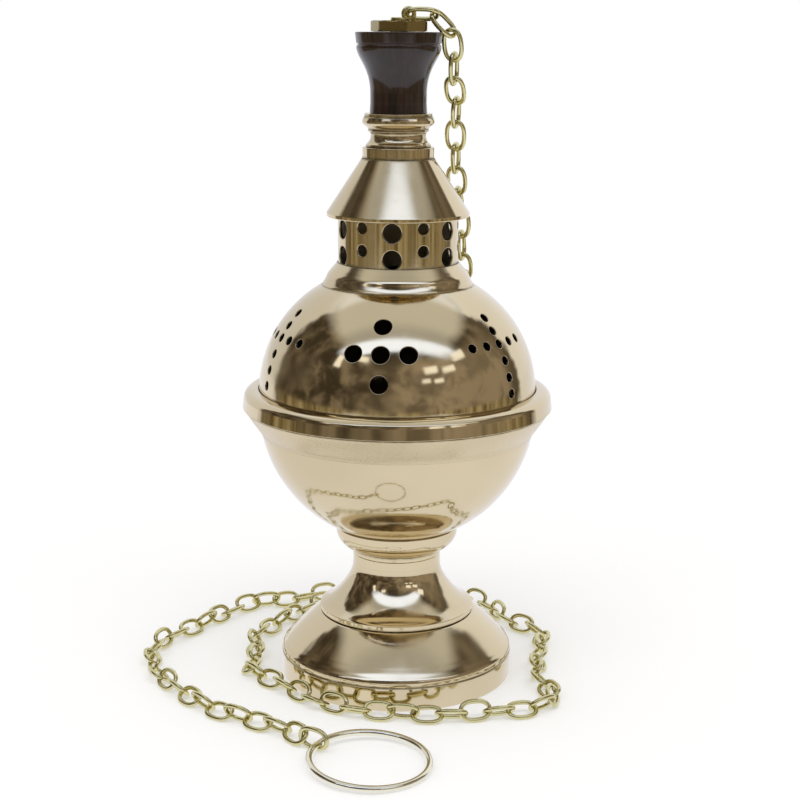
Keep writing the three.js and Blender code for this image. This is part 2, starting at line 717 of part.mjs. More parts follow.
function addChain(hangingStart) {
  const last = addEndLink().setZ(chainFloor);
  const hanging = hangingRoute.map((p) => new THREE.Vector3(...p));
  const onFloor = floorRoute.map(([x, y]) => new THREE.Vector3(x, y, chainFloor));
  const route = new THREE.CatmullRomCurve3([hangingStart, ...hanging, ...onFloor, last]);
  const samples = 20; // for each stretch between two points
  route.arcLengthDivisions = (route.points.length - 1) * samples;
  const lengths = route.getLengths();
  const landing = lengths[(hanging.length + 1) * samples];
  const end = lengths[lengths.length - 1];
  const start = linkWire + linkGap;
  addPiece('chain_hanging', chainRun(route, start, landing - seatGap / 2, hangingSteps), chainBrass);
  addPiece('chain_on_floor', chainRun(route, landing + seatGap / 2, end, floorSteps), chainBrass);
}

function addRing() {
  const mean = ringOuter - ringWire / 2;
  const tilt = Math.asin((ringLift - ringWire / 2) / (2 * mean));
  const ring = new THREE.TorusGeometry(mean, ringWire / 2, 6, 28);
  ring.rotateY(-tilt);
  ring.rotateZ(radians(ringAzimuth));
  ring.translate(ringCentre[0], ringCentre[1], (ringLift + ringWire / 2) / 2);
  addPiece('end_ring', ring, chainBrass);
}

addFoot();
addStem();
addCup();
addBowl();
addRimRing();
addScrew();
addFireCup();
addLidBand();
addDome();
addLugs();
addCollar();
const lanternTop = addLantern();
const roofTop = addRoof(lanternTop);
const mouldingTop = addFerrule(roofTop);
const handleTop = addHandle(mouldingTop);
const nutTop = addRod(roofTop, handleTop);
const eyeCentre = addSwivelEye(nutTop);
const hangingStart = addFirstLinks(eyeCentre);
addChain(hangingStart);
addRing();

export default model;
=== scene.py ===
# Brass censer on a single chain: turned foot, bowl and pierced lid, a wood handle, and a chain with its ring.
# Sizes in the dictionaries are millimetres and degrees unless a note says otherwise; meshes are in metres.
# Azimuths run from the front (-Y) towards +X.
import bpy
import math
import numpy as np
from mathutils import Matrix, Vector


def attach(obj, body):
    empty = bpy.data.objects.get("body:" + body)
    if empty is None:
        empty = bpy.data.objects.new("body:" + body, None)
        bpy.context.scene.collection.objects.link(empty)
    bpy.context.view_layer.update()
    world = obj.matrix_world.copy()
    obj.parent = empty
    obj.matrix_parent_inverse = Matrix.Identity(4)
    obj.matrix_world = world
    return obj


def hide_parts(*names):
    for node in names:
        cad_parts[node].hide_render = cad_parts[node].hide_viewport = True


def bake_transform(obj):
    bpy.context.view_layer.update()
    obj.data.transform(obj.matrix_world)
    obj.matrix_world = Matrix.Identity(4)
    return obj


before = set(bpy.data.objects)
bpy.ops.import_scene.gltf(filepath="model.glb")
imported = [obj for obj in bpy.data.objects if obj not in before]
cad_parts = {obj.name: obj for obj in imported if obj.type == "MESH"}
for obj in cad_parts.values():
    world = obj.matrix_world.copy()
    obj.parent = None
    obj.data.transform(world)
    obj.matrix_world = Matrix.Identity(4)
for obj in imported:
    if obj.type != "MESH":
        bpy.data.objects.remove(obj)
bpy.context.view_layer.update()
mm = 0.001
print("frame loaded:", len(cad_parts), "nodes")

# Camera

camera = {
    "place": (0.96, -554.1, 226.0),
    "down": 12.83,
    "roll": 0.27,
    "focal": 72.5,
    "sensor": 36.0,
    "clip": (0.01, 20),  # metres
}


def addObject(name, data):
    made = bpy.data.objects.new(name, data)
    bpy.context.collection.objects.link(made)
    return made


def addCamera(v):
    data = bpy.data.cameras.new("camera")
    data.sensor_width = v["sensor"]
    data.lens = v["focal"]
    data.clip_start, data.clip_end = v["clip"]
    data.dof.use_dof = False
    eye = addObject("camera", data)
    tilt = Matrix.Rotation(math.radians(90 - v["down"]), 4, "X") @ Matrix.Rotation(math.radians(v["roll"]), 4, "Z")
    eye.matrix_world = Matrix.Translation([c * mm for c in v["place"]]) @ tilt
    bpy.context.scene.camera = eye


addCamera(camera)

# Shader nodes


def rgb(r, g, b):
    return (r, g, b, 1.0)


# Links a socket to the value where that is another node's socket, and otherwise sets it.
def feed(tree, socket, value):
    if isinstance(value, bpy.types.NodeSocket):
        tree.links.new(value, socket)
    else:
        socket.default_value = value


def addNode(tree, kind, inputs=None, **settings):
    made = tree.nodes.new("ShaderNode" + kind)
    for key, value in settings.items():
        setattr(made, key, value)
    for key, value in (inputs or {}).items():
        feed(tree, made.inputs[key], value)
    return made


def math2(tree, what, a, b=0.0, clamp=False):
    return addNode(tree, "Math", {0: a, 1: b}, operation=what, use_clamp=clamp).outputs[0]


def plus(tree, a, b, clamp=False):
    return math2(tree, "ADD", a, b, clamp)


def times(tree, a, b, clamp=False):
    return math2(tree, "MULTIPLY", a, b, clamp)


def ramp(tree, value, low, high, toLow=0.0, toHigh=1.0):
    inputs = {"Value": value, "From Min": low, "From Max": high, "To Min": toLow, "To Max": toHigh}
    return addNode(tree, "MapRange", inputs, interpolation_type="SMOOTHSTEP").outputs["Result"]


def blendColor(tree, amount, a, b):
    return addNode(tree, "Mix", {0: amount, 6: a, 7: b}, data_type="RGBA").outputs[2]


# Noise over a vector, or over one number where it has one dimension.
def noise(tree, where, scale, detail, roughness=0.5, distortion=0.0, dimensions="3D"):
    inputs = {"W" if dimensions == "1D" else "Vector": where, "Scale": scale, "Detail": detail,
              "Roughness": roughness, "Distortion": distortion}
    return addNode(tree, "TexNoise", inputs, noise_dimensions=dimensions).outputs["Fac"]


def objectPlace(tree):
    return addNode(tree, "TexCoord").outputs["Object"]


def attribute(tree, name):
    return addNode(tree, "Attribute", attribute_name=name).outputs["Fac"]


def bumps(tree, height, strength, distance):
    return addNode(tree, "Bump", {"Height": height, "Strength": strength, "Distance": distance * mm}).outputs[0]


# sqrt(x^2 + y^2)
def lengthOf(tree, x, y):
    flat = addNode(tree, "CombineXYZ", {0: x, 1: y}).outputs[0]
    return addNode(tree, "VectorMath", {0: flat}, operation="LENGTH").outputs["Value"]


# A node group. Each input is a number or a colour, as its first value is.
def newGroup(name, inputs, **outputs):
    group = bpy.data.node_groups.new(name, "ShaderNodeTree")
    for label, value in inputs.items():
        kind = "NodeSocketFloat" if isinstance(value, float) else "NodeSocketColor"
        group.interface.new_socket(label, in_out="INPUT", socket_type=kind).default_value = value
    for label, kind in outputs.items():
        group.interface.new_socket(label, in_out="OUTPUT", socket_type="NodeSocket" + kind)
    return group, group.nodes.new("NodeGroupInput").outputs, group.nodes.new("NodeGroupOutput").inputs


def useGroup(tree, group, **values):
    return addNode(tree, "Group", values, node_tree=group).outputs


handlingMarks = {
    "smears": (0.42, 0.72),  # of the wide noise, from clean to full
    "specks": (0.5, 0.75),
    "speckShare": 0.45,
    "speckScale": 9.0,  # times the scale of the smears
    "smearNoise": (3.0, 0.5, 0.8),  # detail, roughness and distortion
    "speckNoise": (4.0, 0.65),
}


# Roughness of handled metal: wide smears and small marks, between Low and High.
def makeHandling(v):
    group, given, out = newGroup("handling", {"Low": 0.06, "High": 0.2, "Size": 40.0}, Roughness="Float")
    where = objectPlace(group)
    wide = noise(group, where, given["Size"], *v["smearNoise"])
    fine = noise(group, where, times(group, given["Size"], v["speckScale"]), *v["speckNoise"])
    specks = ramp(group, fine, *v["specks"], 0.0, v["speckShare"])
    both = plus(group, ramp(group, wide, *v["smears"]), specks, clamp=True)
    value = addNode(group, "MapRange", {"Value": both, "To Min": given["Low"], "To Max": given["High"]})
    feed(group, out["Roughness"], value.outputs["Result"])
    return group


# Height of the fine rings that turning and polishing leave: noise that changes only with radius and height.
def makeTurning():
    group, given, out = newGroup("turning", {"Rings": 2600.0}, Height="Float")
    x, y, z = addNode(group, "SeparateXYZ", {0: objectPlace(group)}).outputs
    across = addNode(group, "CombineXYZ", {0: lengthOf(group, x, y), 1: z}).outputs[0]
    feed(group, out["Height"], noise(group, across, given["Rings"], 2.0, dimensions="2D"))
    return group


patinaMarks = {
    "patches": (0.25, 0.7, 0.45, 1.0),  # of the noise, and the share of the crevice that it leaves
    "patchNoise": (5.0, 0.6),  # detail and roughness
    "tint": (0.35, 0.7, 0.0, 0.12),
    "tintNoise": (22.0, 2.0),  # scale and detail
}


# Colour of brass that is darker where polish doesn't reach: the crevice attribute, broken up by noise.
def makePatina(v):
    inputs = {"Clean": rgb(0.8, 0.7, 0.5), "Aged": rgb(0.3, 0.2, 0.07), "Size": 300.0}
    group, given, out = newGroup("patina", inputs, Color="Color", Mask="Float")
    where = objectPlace(group)
    broken = ramp(group, noise(group, where, given["Size"], *v["patchNoise"]), *v["patches"])
    mask = times(group, attribute(group, "crevice"), broken, clamp=True)
    warm = ramp(group, noise(group, where, *v["tintNoise"]), *v["tint"])
    clean = blendColor(group, warm, given["Clean"], given["Aged"])
    feed(group, out["Color"], blendColor(group, mask, clean, given["Aged"]))
    feed(group, out["Mask"], mask)
    return group


handling = makeHandling(handlingMarks)
turning = makeTurning()
patina = makePatina(patinaMarks)

# Finishes. A noise is its scale (in metres), detail, roughness and distortion. Depths are millimetres.

brassFinish = {
    "clean": rgb(0.71, 0.595, 0.375),
    "aged": rgb(0.16, 0.12, 0.045),
    "soot": rgb(0.035, 0.026, 0.016),
    "smooth": 0.075,
    "handled": 0.17,
    "agedRougher": 0.25,
    "sootRougher": 0.5,
    "patchScale": 260.0,
    "smearScale": 34.0,
    "ringScale": 2200.0,
    "ringStrength": 0.25,
    "ringDepth": 0.005,
}
satinFinish = {"smooth": 0.26, "handled": 0.34}
metals = {
    "chain_brass": {"clean": rgb(0.68, 0.62, 0.31), "aged": rgb(0.2, 0.17, 0.05), "smooth": 0.1, "handled": 0.28,
                    "scale": 160.0, "pitDepth": 0.06},
    "ring_brass": {"clean": rgb(0.86, 0.82, 0.64), "aged": rgb(0.4, 0.34, 0.16), "smooth": 0.07, "handled": 0.18,
                   "scale": 120.0, "pitDepth": 0.02},
    "nut_brass": {"clean": rgb(0.36, 0.28, 0.11), "aged": rgb(0.12, 0.085, 0.03), "smooth": 0.16, "handled": 0.3,
                  "scale": 120.0, "pitDepth": 0.05},
    "steel": {"clean": rgb(0.42, 0.41, 0.39), "aged": rgb(0.16, 0.12, 0.09), "smooth": 0.25, "handled": 0.45,
              "scale": 140.0, "pitDepth": 0.04},
}
pits = {"noise": (900.0, 3.0), "strength": 0.35}
woodFinish = {
    "dark": rgb(0.009, 0.005, 0.0035),
    "light": rgb(0.028, 0.013, 0.008),
    "hollowTone": rgb(0.16, 0.13, 0.11),
    "hollowShare": 0.5,
    "grainScale": (420.0, 420.0, 38.0),
    "grainNoise": (1.0, 5.0, 0.6, 0.6),
    "figure": (0.3, 0.75),
    "roughness": (0.3, 0.8, 0.3, 0.45),  # of the grain's noise, and what it becomes
    "poreNoise": (4.0, 2.0),
    "poreStrength": 0.12,
    "poreDepth": 0.03,
    "sockets": {
        "Specular Tint": rgb(1.0, 0.86, 0.72),
        "Specular IOR Level": 0.15,
        "Coat Tint": rgb(1.0, 0.96, 0.9),
        "Coat Weight": 0.85,
        "Coat Roughness": 0.1,
    },
}
blackFinish = {
    "bare": rgb(0.03, 0.028, 0.027),
    "ash": rgb(0.2, 0.19, 0.17),
    "metallic": 0.4,
    "dustNoise": (90.0, 6.0, 0.7),
    "dust": (0.35, 0.7),
    "dustTo": (0.07, 0.056, 0.0, 0.8),  # heights in metres between which the ash thins out
    "roughness": (0.3, 0.7, 0.45, 0.8),
    "bumpStrength": 0.4,
    "bumpDepth": 0.1,
}


def newMaterial(name, **sockets):
    made = bpy.data.materials.new(name)
    made.use_nodes = True
    shader = made.node_tree.nodes["Principled BSDF"]
    for key, value in sockets.items():
        shader.inputs[key].default_value = value
    return made, made.node_tree, shader


def dress(tree, shader, color, roughness, *bump):
    for key, socket in (("Base Color", color), ("Roughness", roughness), ("Normal", bumps(tree, *bump))):
        tree.links.new(socket, shader.inputs[key])


# Turned brass, polished, with rings, aged crevices and soot where its attribute says so.
def makeBrass(name, v):
    made, tree, shader = newMaterial(name, Metallic=1.0)
    soot = attribute(tree, "soot")
    hollowTone = useGroup(tree, patina, Clean=v["clean"], Aged=v["aged"], Size=v["patchScale"])
    rough = useGroup(tree, handling, Low=v["smooth"], High=v["handled"], Size=v["smearScale"])["Roughness"]
    rough = plus(tree, rough, times(tree, hollowTone["Mask"], v["agedRougher"]))
    rough = plus(tree, rough, times(tree, soot, v["sootRougher"]), clamp=True)
    rings = useGroup(tree, turning, Rings=v["ringScale"])["Height"]
    color = blendColor(tree, soot, hollowTone["Color"], v["soot"])
    dress(tree, shader, color, rough, rings, v["ringStrength"], v["ringDepth"])
    return made


# Cast or drawn metal with small pits.
def makeMetal(name, v):
    made, tree, shader = newMaterial(name, Metallic=1.0)
    hollowTone = useGroup(tree, patina, Clean=v["clean"], Aged=v["aged"], Size=v["scale"])
    rough = useGroup(tree, handling, Low=v["smooth"], High=v["handled"], Size=v["scale"])["Roughness"]
    height = noise(tree, objectPlace(tree), *pits["noise"])
    dress(tree, shader, hollowTone["Color"], rough, height, pits["strength"], v["pitDepth"])
    return made


# Lacquered hardwood: long grain along the handle under a smooth clear coat.
def makeWood(name, v):
    made, tree, shader = newMaterial(name, **v["sockets"])
    along = addNode(tree, "Mapping", {"Vector": objectPlace(tree), "Scale": v["grainScale"]}).outputs[0]
    grain = noise(tree, along, *v["grainNoise"])
    color = blendColor(tree, ramp(tree, grain, *v["figure"]), v["dark"], v["light"])
    # The wood is paler in the outline's hollows, most of all in the groove under the rim.
    color = blendColor(tree, times(tree, attribute(tree, "crevice"), v["hollowShare"]), color, v["hollowTone"])
    pores = noise(tree, along, *v["poreNoise"])
    dress(tree, shader, color, ramp(tree, grain, *v["roughness"]), pores, v["poreStrength"], v["poreDepth"])
    return made


# Blackened sheet with ash on its lower part.
def makeBlackened(name, v):
    made, tree, shader = newMaterial(name, Metallic=v["metallic"])
    where = objectPlace(tree)
    dust = noise(tree, where, *v["dustNoise"])
    height = addNode(tree, "SeparateXYZ", {0: where}).outputs[2]
    amount = times(tree, ramp(tree, dust, *v["dust"]), ramp(tree, height, *v["dustTo"]))
    color = blendColor(tree, amount, v["bare"], v["ash"])
    dress(tree, shader, color, ramp(tree, dust, *v["roughness"]), dust, v["bumpStrength"], v["bumpDepth"])
    return made


# The material of each slot in the record, and two that only one piece has.
finishes = {
    "brass": makeBrass("polished_brass", brassFinish),
    "satin_brass": makeBrass("satin_brass", {**brassFinish, **satinFinish}),
    **{name: makeMetal(name, v) for name, v in metals.items()},
    "dark_wood": makeWood("dark_wood", woodFinish),
    "blackened_steel": makeBlackened("blackened_steel", blackFinish),
}
print("materials made")

# Mesh helpers

meshing = {
    "side": 0.7,  # longest on an outline
    "arcStep": 11,
    "sideShare": 0.48,  # most of a side that a rounding may take
    "merge": 1e-4,
    "sharpest": 1.2,  # bend that still darkens a hollow more, in radians
    "seam": 1.3,  # darkness of a seam before it is clipped
}


def unit(a):
    return a / np.maximum(np.linalg.norm(a, axis=-1, keepdims=True), 1e-9)


# 3t^2 - 2t^3 with t held between 0 and 1.
def smooth(t):
    t = np.clip(t, 0, 1)
    return t ** 2 * (3 - 2 * t)


# Angles of n even steps round a circle.
def circle(n):
    return np.linspace(0, 2 * math.pi, n, endpoint=False)


# (r sin a, -r cos a, z)
def turned(r, a, z):
    return np.stack(np.broadcast_arrays(r * np.sin(a), -r * np.cos(a), z), axis=-1)


def steps(line):
    return np.linalg.norm(np.diff(line, axis=0), axis=1)


# Distance from the first point to each along a line.
def travelled(line):
    return np.concatenate([[0], np.cumsum(steps(line))])


# A smooth mesh of points (n, 3), quads (m, 4) and triangles (k, 3), with its own vertex normals and attributes.
def addMesh(name, points, normals, quads, triangles, material, **attributes):
    mesh = bpy.data.meshes.new(name)
    mesh.from_pydata((points * mm).tolist(), [], [*quads.tolist(), *triangles])
    mesh.shade_smooth()
    for label, values in attributes.items():
        mesh.attributes.new(label, "FLOAT", "POINT").data.foreach_set("value", values.astype(np.float32))
    mesh.normals_split_custom_set_from_vertices(unit(normals).tolist())
    mesh.materials.append(material)
    return addObject(name, mesh)


def place(made, body, slot, *nodes):
    if body:
        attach(made, body)
    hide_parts(*nodes)


# Bezier curve of any degree n: the sum over k of C(n, k) t^k (1-t)^(n-k) times point k, as (r, z, 0).
def bent(*points, count):
    t = np.linspace(0, 1, count + 1)[:, None]
    n = len(points) - 1
    line = sum(math.comb(n, k) * t ** k * (1 - t) ** (n - k) * np.array(p) for k, p in enumerate(points))
    return [(r, z, 0) for r, z in line]


# Cubic Hermite pieces from points a to b with tangents m and n:
# (2t^3 - 3t^2 + 1) a + (t^3 - 2t^2 + t) m + (3t^2 - 2t^3) b + (t^3 - t^2) n.
def hermite(a, b, m, n, count):
    t = np.linspace(0, 1, count, endpoint=False)[None, :, None]
    line = ((2 * t ** 3 - 3 * t ** 2 + 1) * a[:, None] + (t ** 3 - 2 * t ** 2 + t) * m[:, None]
            + (3 * t ** 2 - 2 * t ** 3) * b[:, None] + (t ** 3 - t ** 2) * n[:, None])
    return np.concatenate([line.reshape(-1, a.shape[1]), b[-1:]])


# Smooth curve through the points, as (r, z, 0): the tangents are half the step between the neighbours.
def through(points, count):
    p = np.array(points, float)[:, :2]
    tangent = np.gradient(p, axis=0)
    return [(r, z, 0) for r, z in hermite(p[:-1], p[1:], tangent[:-1], tangent[1:], count)]


# Curve through the points by centripetal Catmull-Rom pieces.
def throughCentripetal(points, count=20):
    p = np.array(points, float)
    p = np.concatenate([[2 * p[0] - p[1]], p, [2 * p[-1] - p[-2]]])
    a, b, c, d = p[:-3], p[1:-2], p[2:-1], p[3:]
    first, middle, last = (np.linalg.norm(q, axis=1, keepdims=True) ** 0.5 for q in (b - a, c - b, d - c))
    m = ((b - a) / first - (c - a) / (first + middle) + (c - b) / middle) * middle
    n = ((c - b) / middle - (d - b) / (middle + last) + (d - c) / last) * middle
    return hermite(b, c, m, n, count)


# Outline of (r, z, rounding) points: each corner with a rounding becomes an arc that touches both sides, then
# long sides are divided.
def rounded(outline, closed, side=meshing["side"]):
    v = meshing
    corners = [np.array(p[:2], float) for p in outline]
    count = len(corners)
    line = []
    for i, (point, spec) in enumerate(zip(corners, outline)):
        before, after = corners[i - 1], corners[(i + 1) % count]
        if spec[2] == 0 or (not closed and i in (0, count - 1)):
            line.append(point)
            continue
        lengths = [np.linalg.norm(before - point), np.linalg.norm(after - point)]
        a, b = (before - point) / lengths[0], (after - point) / lengths[1]
        inner = math.acos(np.clip(a @ b, -1, 1))
        reach = min(spec[2] / math.tan(inner / 2), v["sideShare"] * min(lengths))
        radius = reach * math.tan(inner / 2)
        centre = point + (a + b) / np.linalg.norm(a + b) * radius / math.sin(inner / 2)
        start, end = point + a * reach - centre, point + b * reach - centre
        turn = math.pi - inner
        t = np.linspace(0, 1, max(3, math.ceil(math.degrees(turn) / v["arcStep"])) + 1)[:, None]
        line.extend(centre + (np.sin((1 - t) * turn) * start + np.sin(t * turn) * end) / math.sin(turn))
    line = np.array(line + line[:1] if closed else line)
    pieces = np.maximum(1, np.ceil(steps(line) / side)).astype(int)
    dense = [line[i] + (line[i + 1] - line[i]) * np.arange(n)[:, None] / n for i, n in enumerate(pieces)]
    dense = np.concatenate(dense + [line[-1:]])
    dense = dense[np.append(True, steps(dense) > v["merge"])]
    return dense[:-1] if closed else dense


# Hollows of an outline: at each point, the sum of the inward bends and seams near it, each times e^-(d / reach)^2,
# where d is its distance.
def hollows(line, closed, reach, seams):
    step = np.diff(line, axis=0, append=line[:1] if closed else line[-1:])
    heading = np.unwrap(np.arctan2(step[:, 1], step[:, 0]))
    bend = np.diff(heading, prepend=heading[-1:] - 2 * math.pi if closed else heading[:1])
    apart = np.linalg.norm(line[:, None] - line[None], axis=2)
    inward = np.clip(-bend, 0, meshing["sharpest"])
    value = (inward[None] * np.exp(-(apart / reach) ** 2)).sum(axis=1)
    for seam in seams:
        value += meshing["seam"] * np.exp(-(np.linalg.norm(line - seam, axis=1) / reach) ** 2)
    return np.clip(value, 0, 1)


# Normals of a grid that wraps in its second direction: the cross product of the central differences.
def gridNormals(grid, closed):
    around = np.roll(grid, -1, axis=1) - np.roll(grid, 1, axis=1)
    along = np.roll(grid, -1, axis=0) - np.roll(grid, 1, axis=0) if closed else np.gradient(grid, axis=0)
    return np.cross(around, along)


# Quads of a grid that wraps in its second direction, and in its first if closed.
def gridQuads(rows, columns, closed):
    j, i = np.meshgrid(np.arange(rows if closed else rows - 1), np.arange(columns), indexing="ij")
    up, right = (j + 1) % rows, (i + 1) % columns
    corners = [j * columns + i, j * columns + right, up * columns + right, up * columns + i]
    return np.stack(corners, axis=-1).reshape(-1, 4)


# A line of (r, z) points carried round the axis. An open line starts and ends on the axis, where two fans close it.
def turnedArrays(line, segments, closed, reshape=None):
    angle = circle(segments)
    inner = line if closed else line[1:-1]
    radius, height = np.repeat(inner[:, :1], segments, axis=1), np.repeat(inner[:, 1:], segments, axis=1)
    if reshape:
        radius, height = reshape(radius, height, angle)
    grid = turned(radius, angle, height)
    points, normals = grid.reshape(-1, 3), gridNormals(grid, closed).reshape(-1, 3)
    triangles = []
    if not closed:
        i, count = np.arange(segments), len(points)
        last = count - segments
        bottom = [np.full(segments, count), (i + 1) % segments, i]
        top = [np.full(segments, count + 1), last + i, last + (i + 1) % segments]
        triangles = np.concatenate([np.stack(fan, axis=1) for fan in (bottom, top)]).tolist()
        points = np.concatenate([points, [[0, 0, line[0, 1]], [0, 0, line[-1, 1]]]])
        normals = np.concatenate([normals, [[0, 0, -1], [0, 0, 1]]])
    return points, normals, gridQuads(len(inner), segments, closed), triangles


# A wire along a closed loop: P = centre + (cos k * outward + sin k * side) * wire / 2.
def wireLoop(centre, outward, side, wire, section):
    k = circle(section)[:, None]
    normal = np.cos(k) * outward[:, None] + np.sin(k) * side
    points = centre[:, None] + normal * wire / 2
    return points.reshape(-1, 3), normal.reshape(-1, 3), gridQuads(len(centre), section, True)[:, ::-1]


# A turned piece, brass and on the lid where it doesn't say otherwise. Its outline runs outwards along the bottom
# and up the outside. At seams and in hollows the metal is darker over the distance `reach`.
def addTurned(name, v):
    v = {"body": "lid", "slot": "brass", "reach": 0.8, "seams": [], **v}
    closed = v["outline"][0][0] > 0
    line = rounded(v["outline"], closed)
    crevice = hollows(line, closed, v["reach"], v["seams"])
    points, normals, quads, triangles = turnedArrays(line, v["segments"], closed, v.get("reshape"))
    crevice = np.repeat(crevice if closed else crevice[1:-1], v["segments"])
    crevice = np.append(crevice, np.zeros(len(points) - len(crevice)))
    soot = v["soot"](points) if "soot" in v else np.zeros(len(points))
    material = finishes[v.get("finish", v["slot"])]
    made = addMesh(name, points, normals, quads, triangles, material, crevice=crevice, soot=soot)
    place(made, v["body"], v["slot"], v["node"])
    return made


# Chain and ring

chain = {
    "pitch": 8.0,  # of the first and last links
    "runPitch": 8.22,
    "width": 7.9,
    "wire": 1.62,
    "gap": 0.7,
    "runGap": 0.15,
    "around": 28,
    "section": 8,
    "power": 2.45,
    "roll": 45,
    "rollSwing": 18,
    "swing": (0.9, 2.2, 0.23),  # radians a link, and how far and how fast they come early and late
    "hangingSide": (0.94, -0.35, 0.0),  # of every second link that hangs
    "lying": (9, 54),  # heights between which the links turn from lying to hanging
    "overFloor": 0.02,
    "eye": (3.3, 0.0, 232.35),
    "eyeRadius": 1.75,
    "first": [((8.2, 0.3, -0.2), -30), ((6.0, 0.8, -6.0), 40), ((0.9, 1.5, -8.1), 125), ((0.1, 1.9, -8.1), 35)],
    "hanging": [
        (19.6, 6.6, 208.2), (19.7, 9.6, 196.0), (19.9, 12.4, 184.5), (20.6, 15.6, 173.5), (21.9, 19.1, 164.5),
        (22.4, 19.9, 155.5), (23.0, 21.4, 147.5), (23.4, 23.2, 141.2), (25.0, 29.8, 135.9), (24.6, 37.1, 129.3),
        (21.9, 43.9, 120.6), (18.3, 48.2, 112.4), (16.0, 53.2, 107.2), (13.6, 56.2, 101.5), (11.9, 56.8, 94.0),
        (10.6, 57.2, 82.0), (9.7, 57.6, 67.0), (9.1, 57.6, 52.0), (8.7, 57.6, 37.0), (8.1, 57.7, 23.0),
        (6.4, 58.0, 11.4), (1.8, 58.6, 4.6), (-5.0, 59.6, 3.1),
    ],
    "floorHeight": 3.1,
    "settled": 0.25,  # share of the turn from lying to hanging by which the lift off the floor is gone
    "pathStep": 5,  # points of the route to a point of the cord's path
    "onFloor": [
        (-14.0, 60.4), (-24.0, 60.6), (-32.5, 57.6), (-38.3, 50.0), (-44.0, 41.0), (-49.0, 32.0),
        (-52.6, 23.5), (-53.8, 15.5), (-51.4, 7.0), (-51.6, -1.0), (-53.6, -8.0), (-49.5, -14.6), (-42.4, -21.4),
        (-34.8, -30.4), (-26.2, -38.8), (-18.6, -43.8), (-10.2, -46.4), (-1.6, -48.0), (6.8, -49.2), (15.4, -49.2),
        (23.6, -49.0), (32.2, -47.0), (41.2, -45.0), (49.0, -42.2), (54.4, -36.6), (54.6, -28.8), (51.6, -21.4),
        (50.2, -13.0), (51.6, -4.4), (52.4, 4.4), (53.8, 13.6), (55.6, 22.6), (53.0, 30.6), (45.6, 37.8),
        (41.0, 46.0), (37.8, 54.6), (33.0, 62.6), (24.4, 69.4), (13.0, 73.6), (0.0, 75.2), (-13.0, 74.6),
        (-25.0, 71.4), (-36.7, 66.4), (-46.0, 62.4), (-54.6, 60.6), (-62.2, 55.0), (-69.6, 44.0), (-78.2, 31.4),
        (-86.2, 20.6), (-89.8, 9.6), (-88.6, -3.4), (-83.8, -16.6), (-76.6, -27.4), (-68.4, -38.2), (-59.6, -46.8),
        (-50.0, -52.6), (-41.2, -58.2), (-34.6, -63.2),
    ],
}
ring = {
    "outer": 20.3,
    "wire": 2.3,
    "centre": (-8.2, -83.2),
    "lift": 3.2,
    "azimuth": 147,  # of the last link, from +X
    "around": 180,
    "section": 20,
}


# Centres along a link, |x/a|^p + |y/b|^p = 1 in the plane of its length (x) and width (y), with the outward
# direction (|x/a|^(p-1)/a, |y/b|^(p-1)/b).
def linkLoop(length, v):
    half = (np.array([length, v["width"]]) - v["wire"]) / 2
    t = circle(v["around"]) + math.pi / v["around"]
    turn = np.stack([np.cos(t), np.sin(t)], axis=1)
    share = np.abs(turn) ** (2 / v["power"])
    return np.sign(turn) * share * half, unit(np.sign(turn) * share ** (v["power"] - 1) / half)


# Links as wire loops, each in the plane of its own directions along and across.
def linkMeshes(middles, along, across, lengths, v):
    parts = []
    for i, (middle, x, y, length) in enumerate(zip(middles, along, across, lengths)):
        centre, outward = (flat @ np.stack([x, y]) for flat in linkLoop(length, v))
        points, normals, quads = wireLoop(middle + centre, outward, np.cross(x, y), v["wire"], v["section"])
        parts.append((points, normals, quads + i * len(points)))
    return [np.concatenate(part) for part in zip(*parts)]


# The shortest turn that brings +X onto a direction, applied to the side vector that the link's own roll gives.
def sideAfterTurn(direction, roll):
    side = np.array([0, math.cos(math.radians(roll)), math.sin(math.radians(roll))])
    axis = np.cross([1, 0, 0], direction)
    return side + np.cross(axis, side) + np.cross(axis, np.cross(axis, side)) / (1 + direction[0])


# The sides of the run's links. On the floor they lean to one side and the other in turn, more or less so along
# the run; where they hang, every second one stands square to the next.
def runSides(run, height, v):
    order = np.arange(len(run))
    even = (order % 2 == 0)[:, None]
    flat = unit(np.cross([0, 0, 1], run + [1e-6, 0, 0]))
    step, early, slow = v["swing"]
    swing = np.sin(order * step + early * np.sin(order * slow))
    angle = np.radians(v["roll"] + v["rollSwing"] * swing)[:, None] - np.where(even, 0, math.pi / 2)
    onFloor = np.cos(angle) * flat + np.sin(angle) * np.cross(run, flat)
    x, y, z = v["hangingSide"]
    hanging = np.where(even, [x, y, z], [-y, x, z])
    low, high = v["lying"]
    weight = smooth((height - low) / (high - low))
    side = (1 - weight) * onFloor + weight * hanging
    side = unit(side - (side * run).sum(axis=1, keepdims=True) * run)
    rise = v["wire"] / 2 + v["overFloor"] + (v["width"] - v["wire"]) / 2 * np.abs(np.sin(angle)) - v["floorHeight"]
    return side, rise * np.clip(1 - weight / v["settled"], 0, 1)


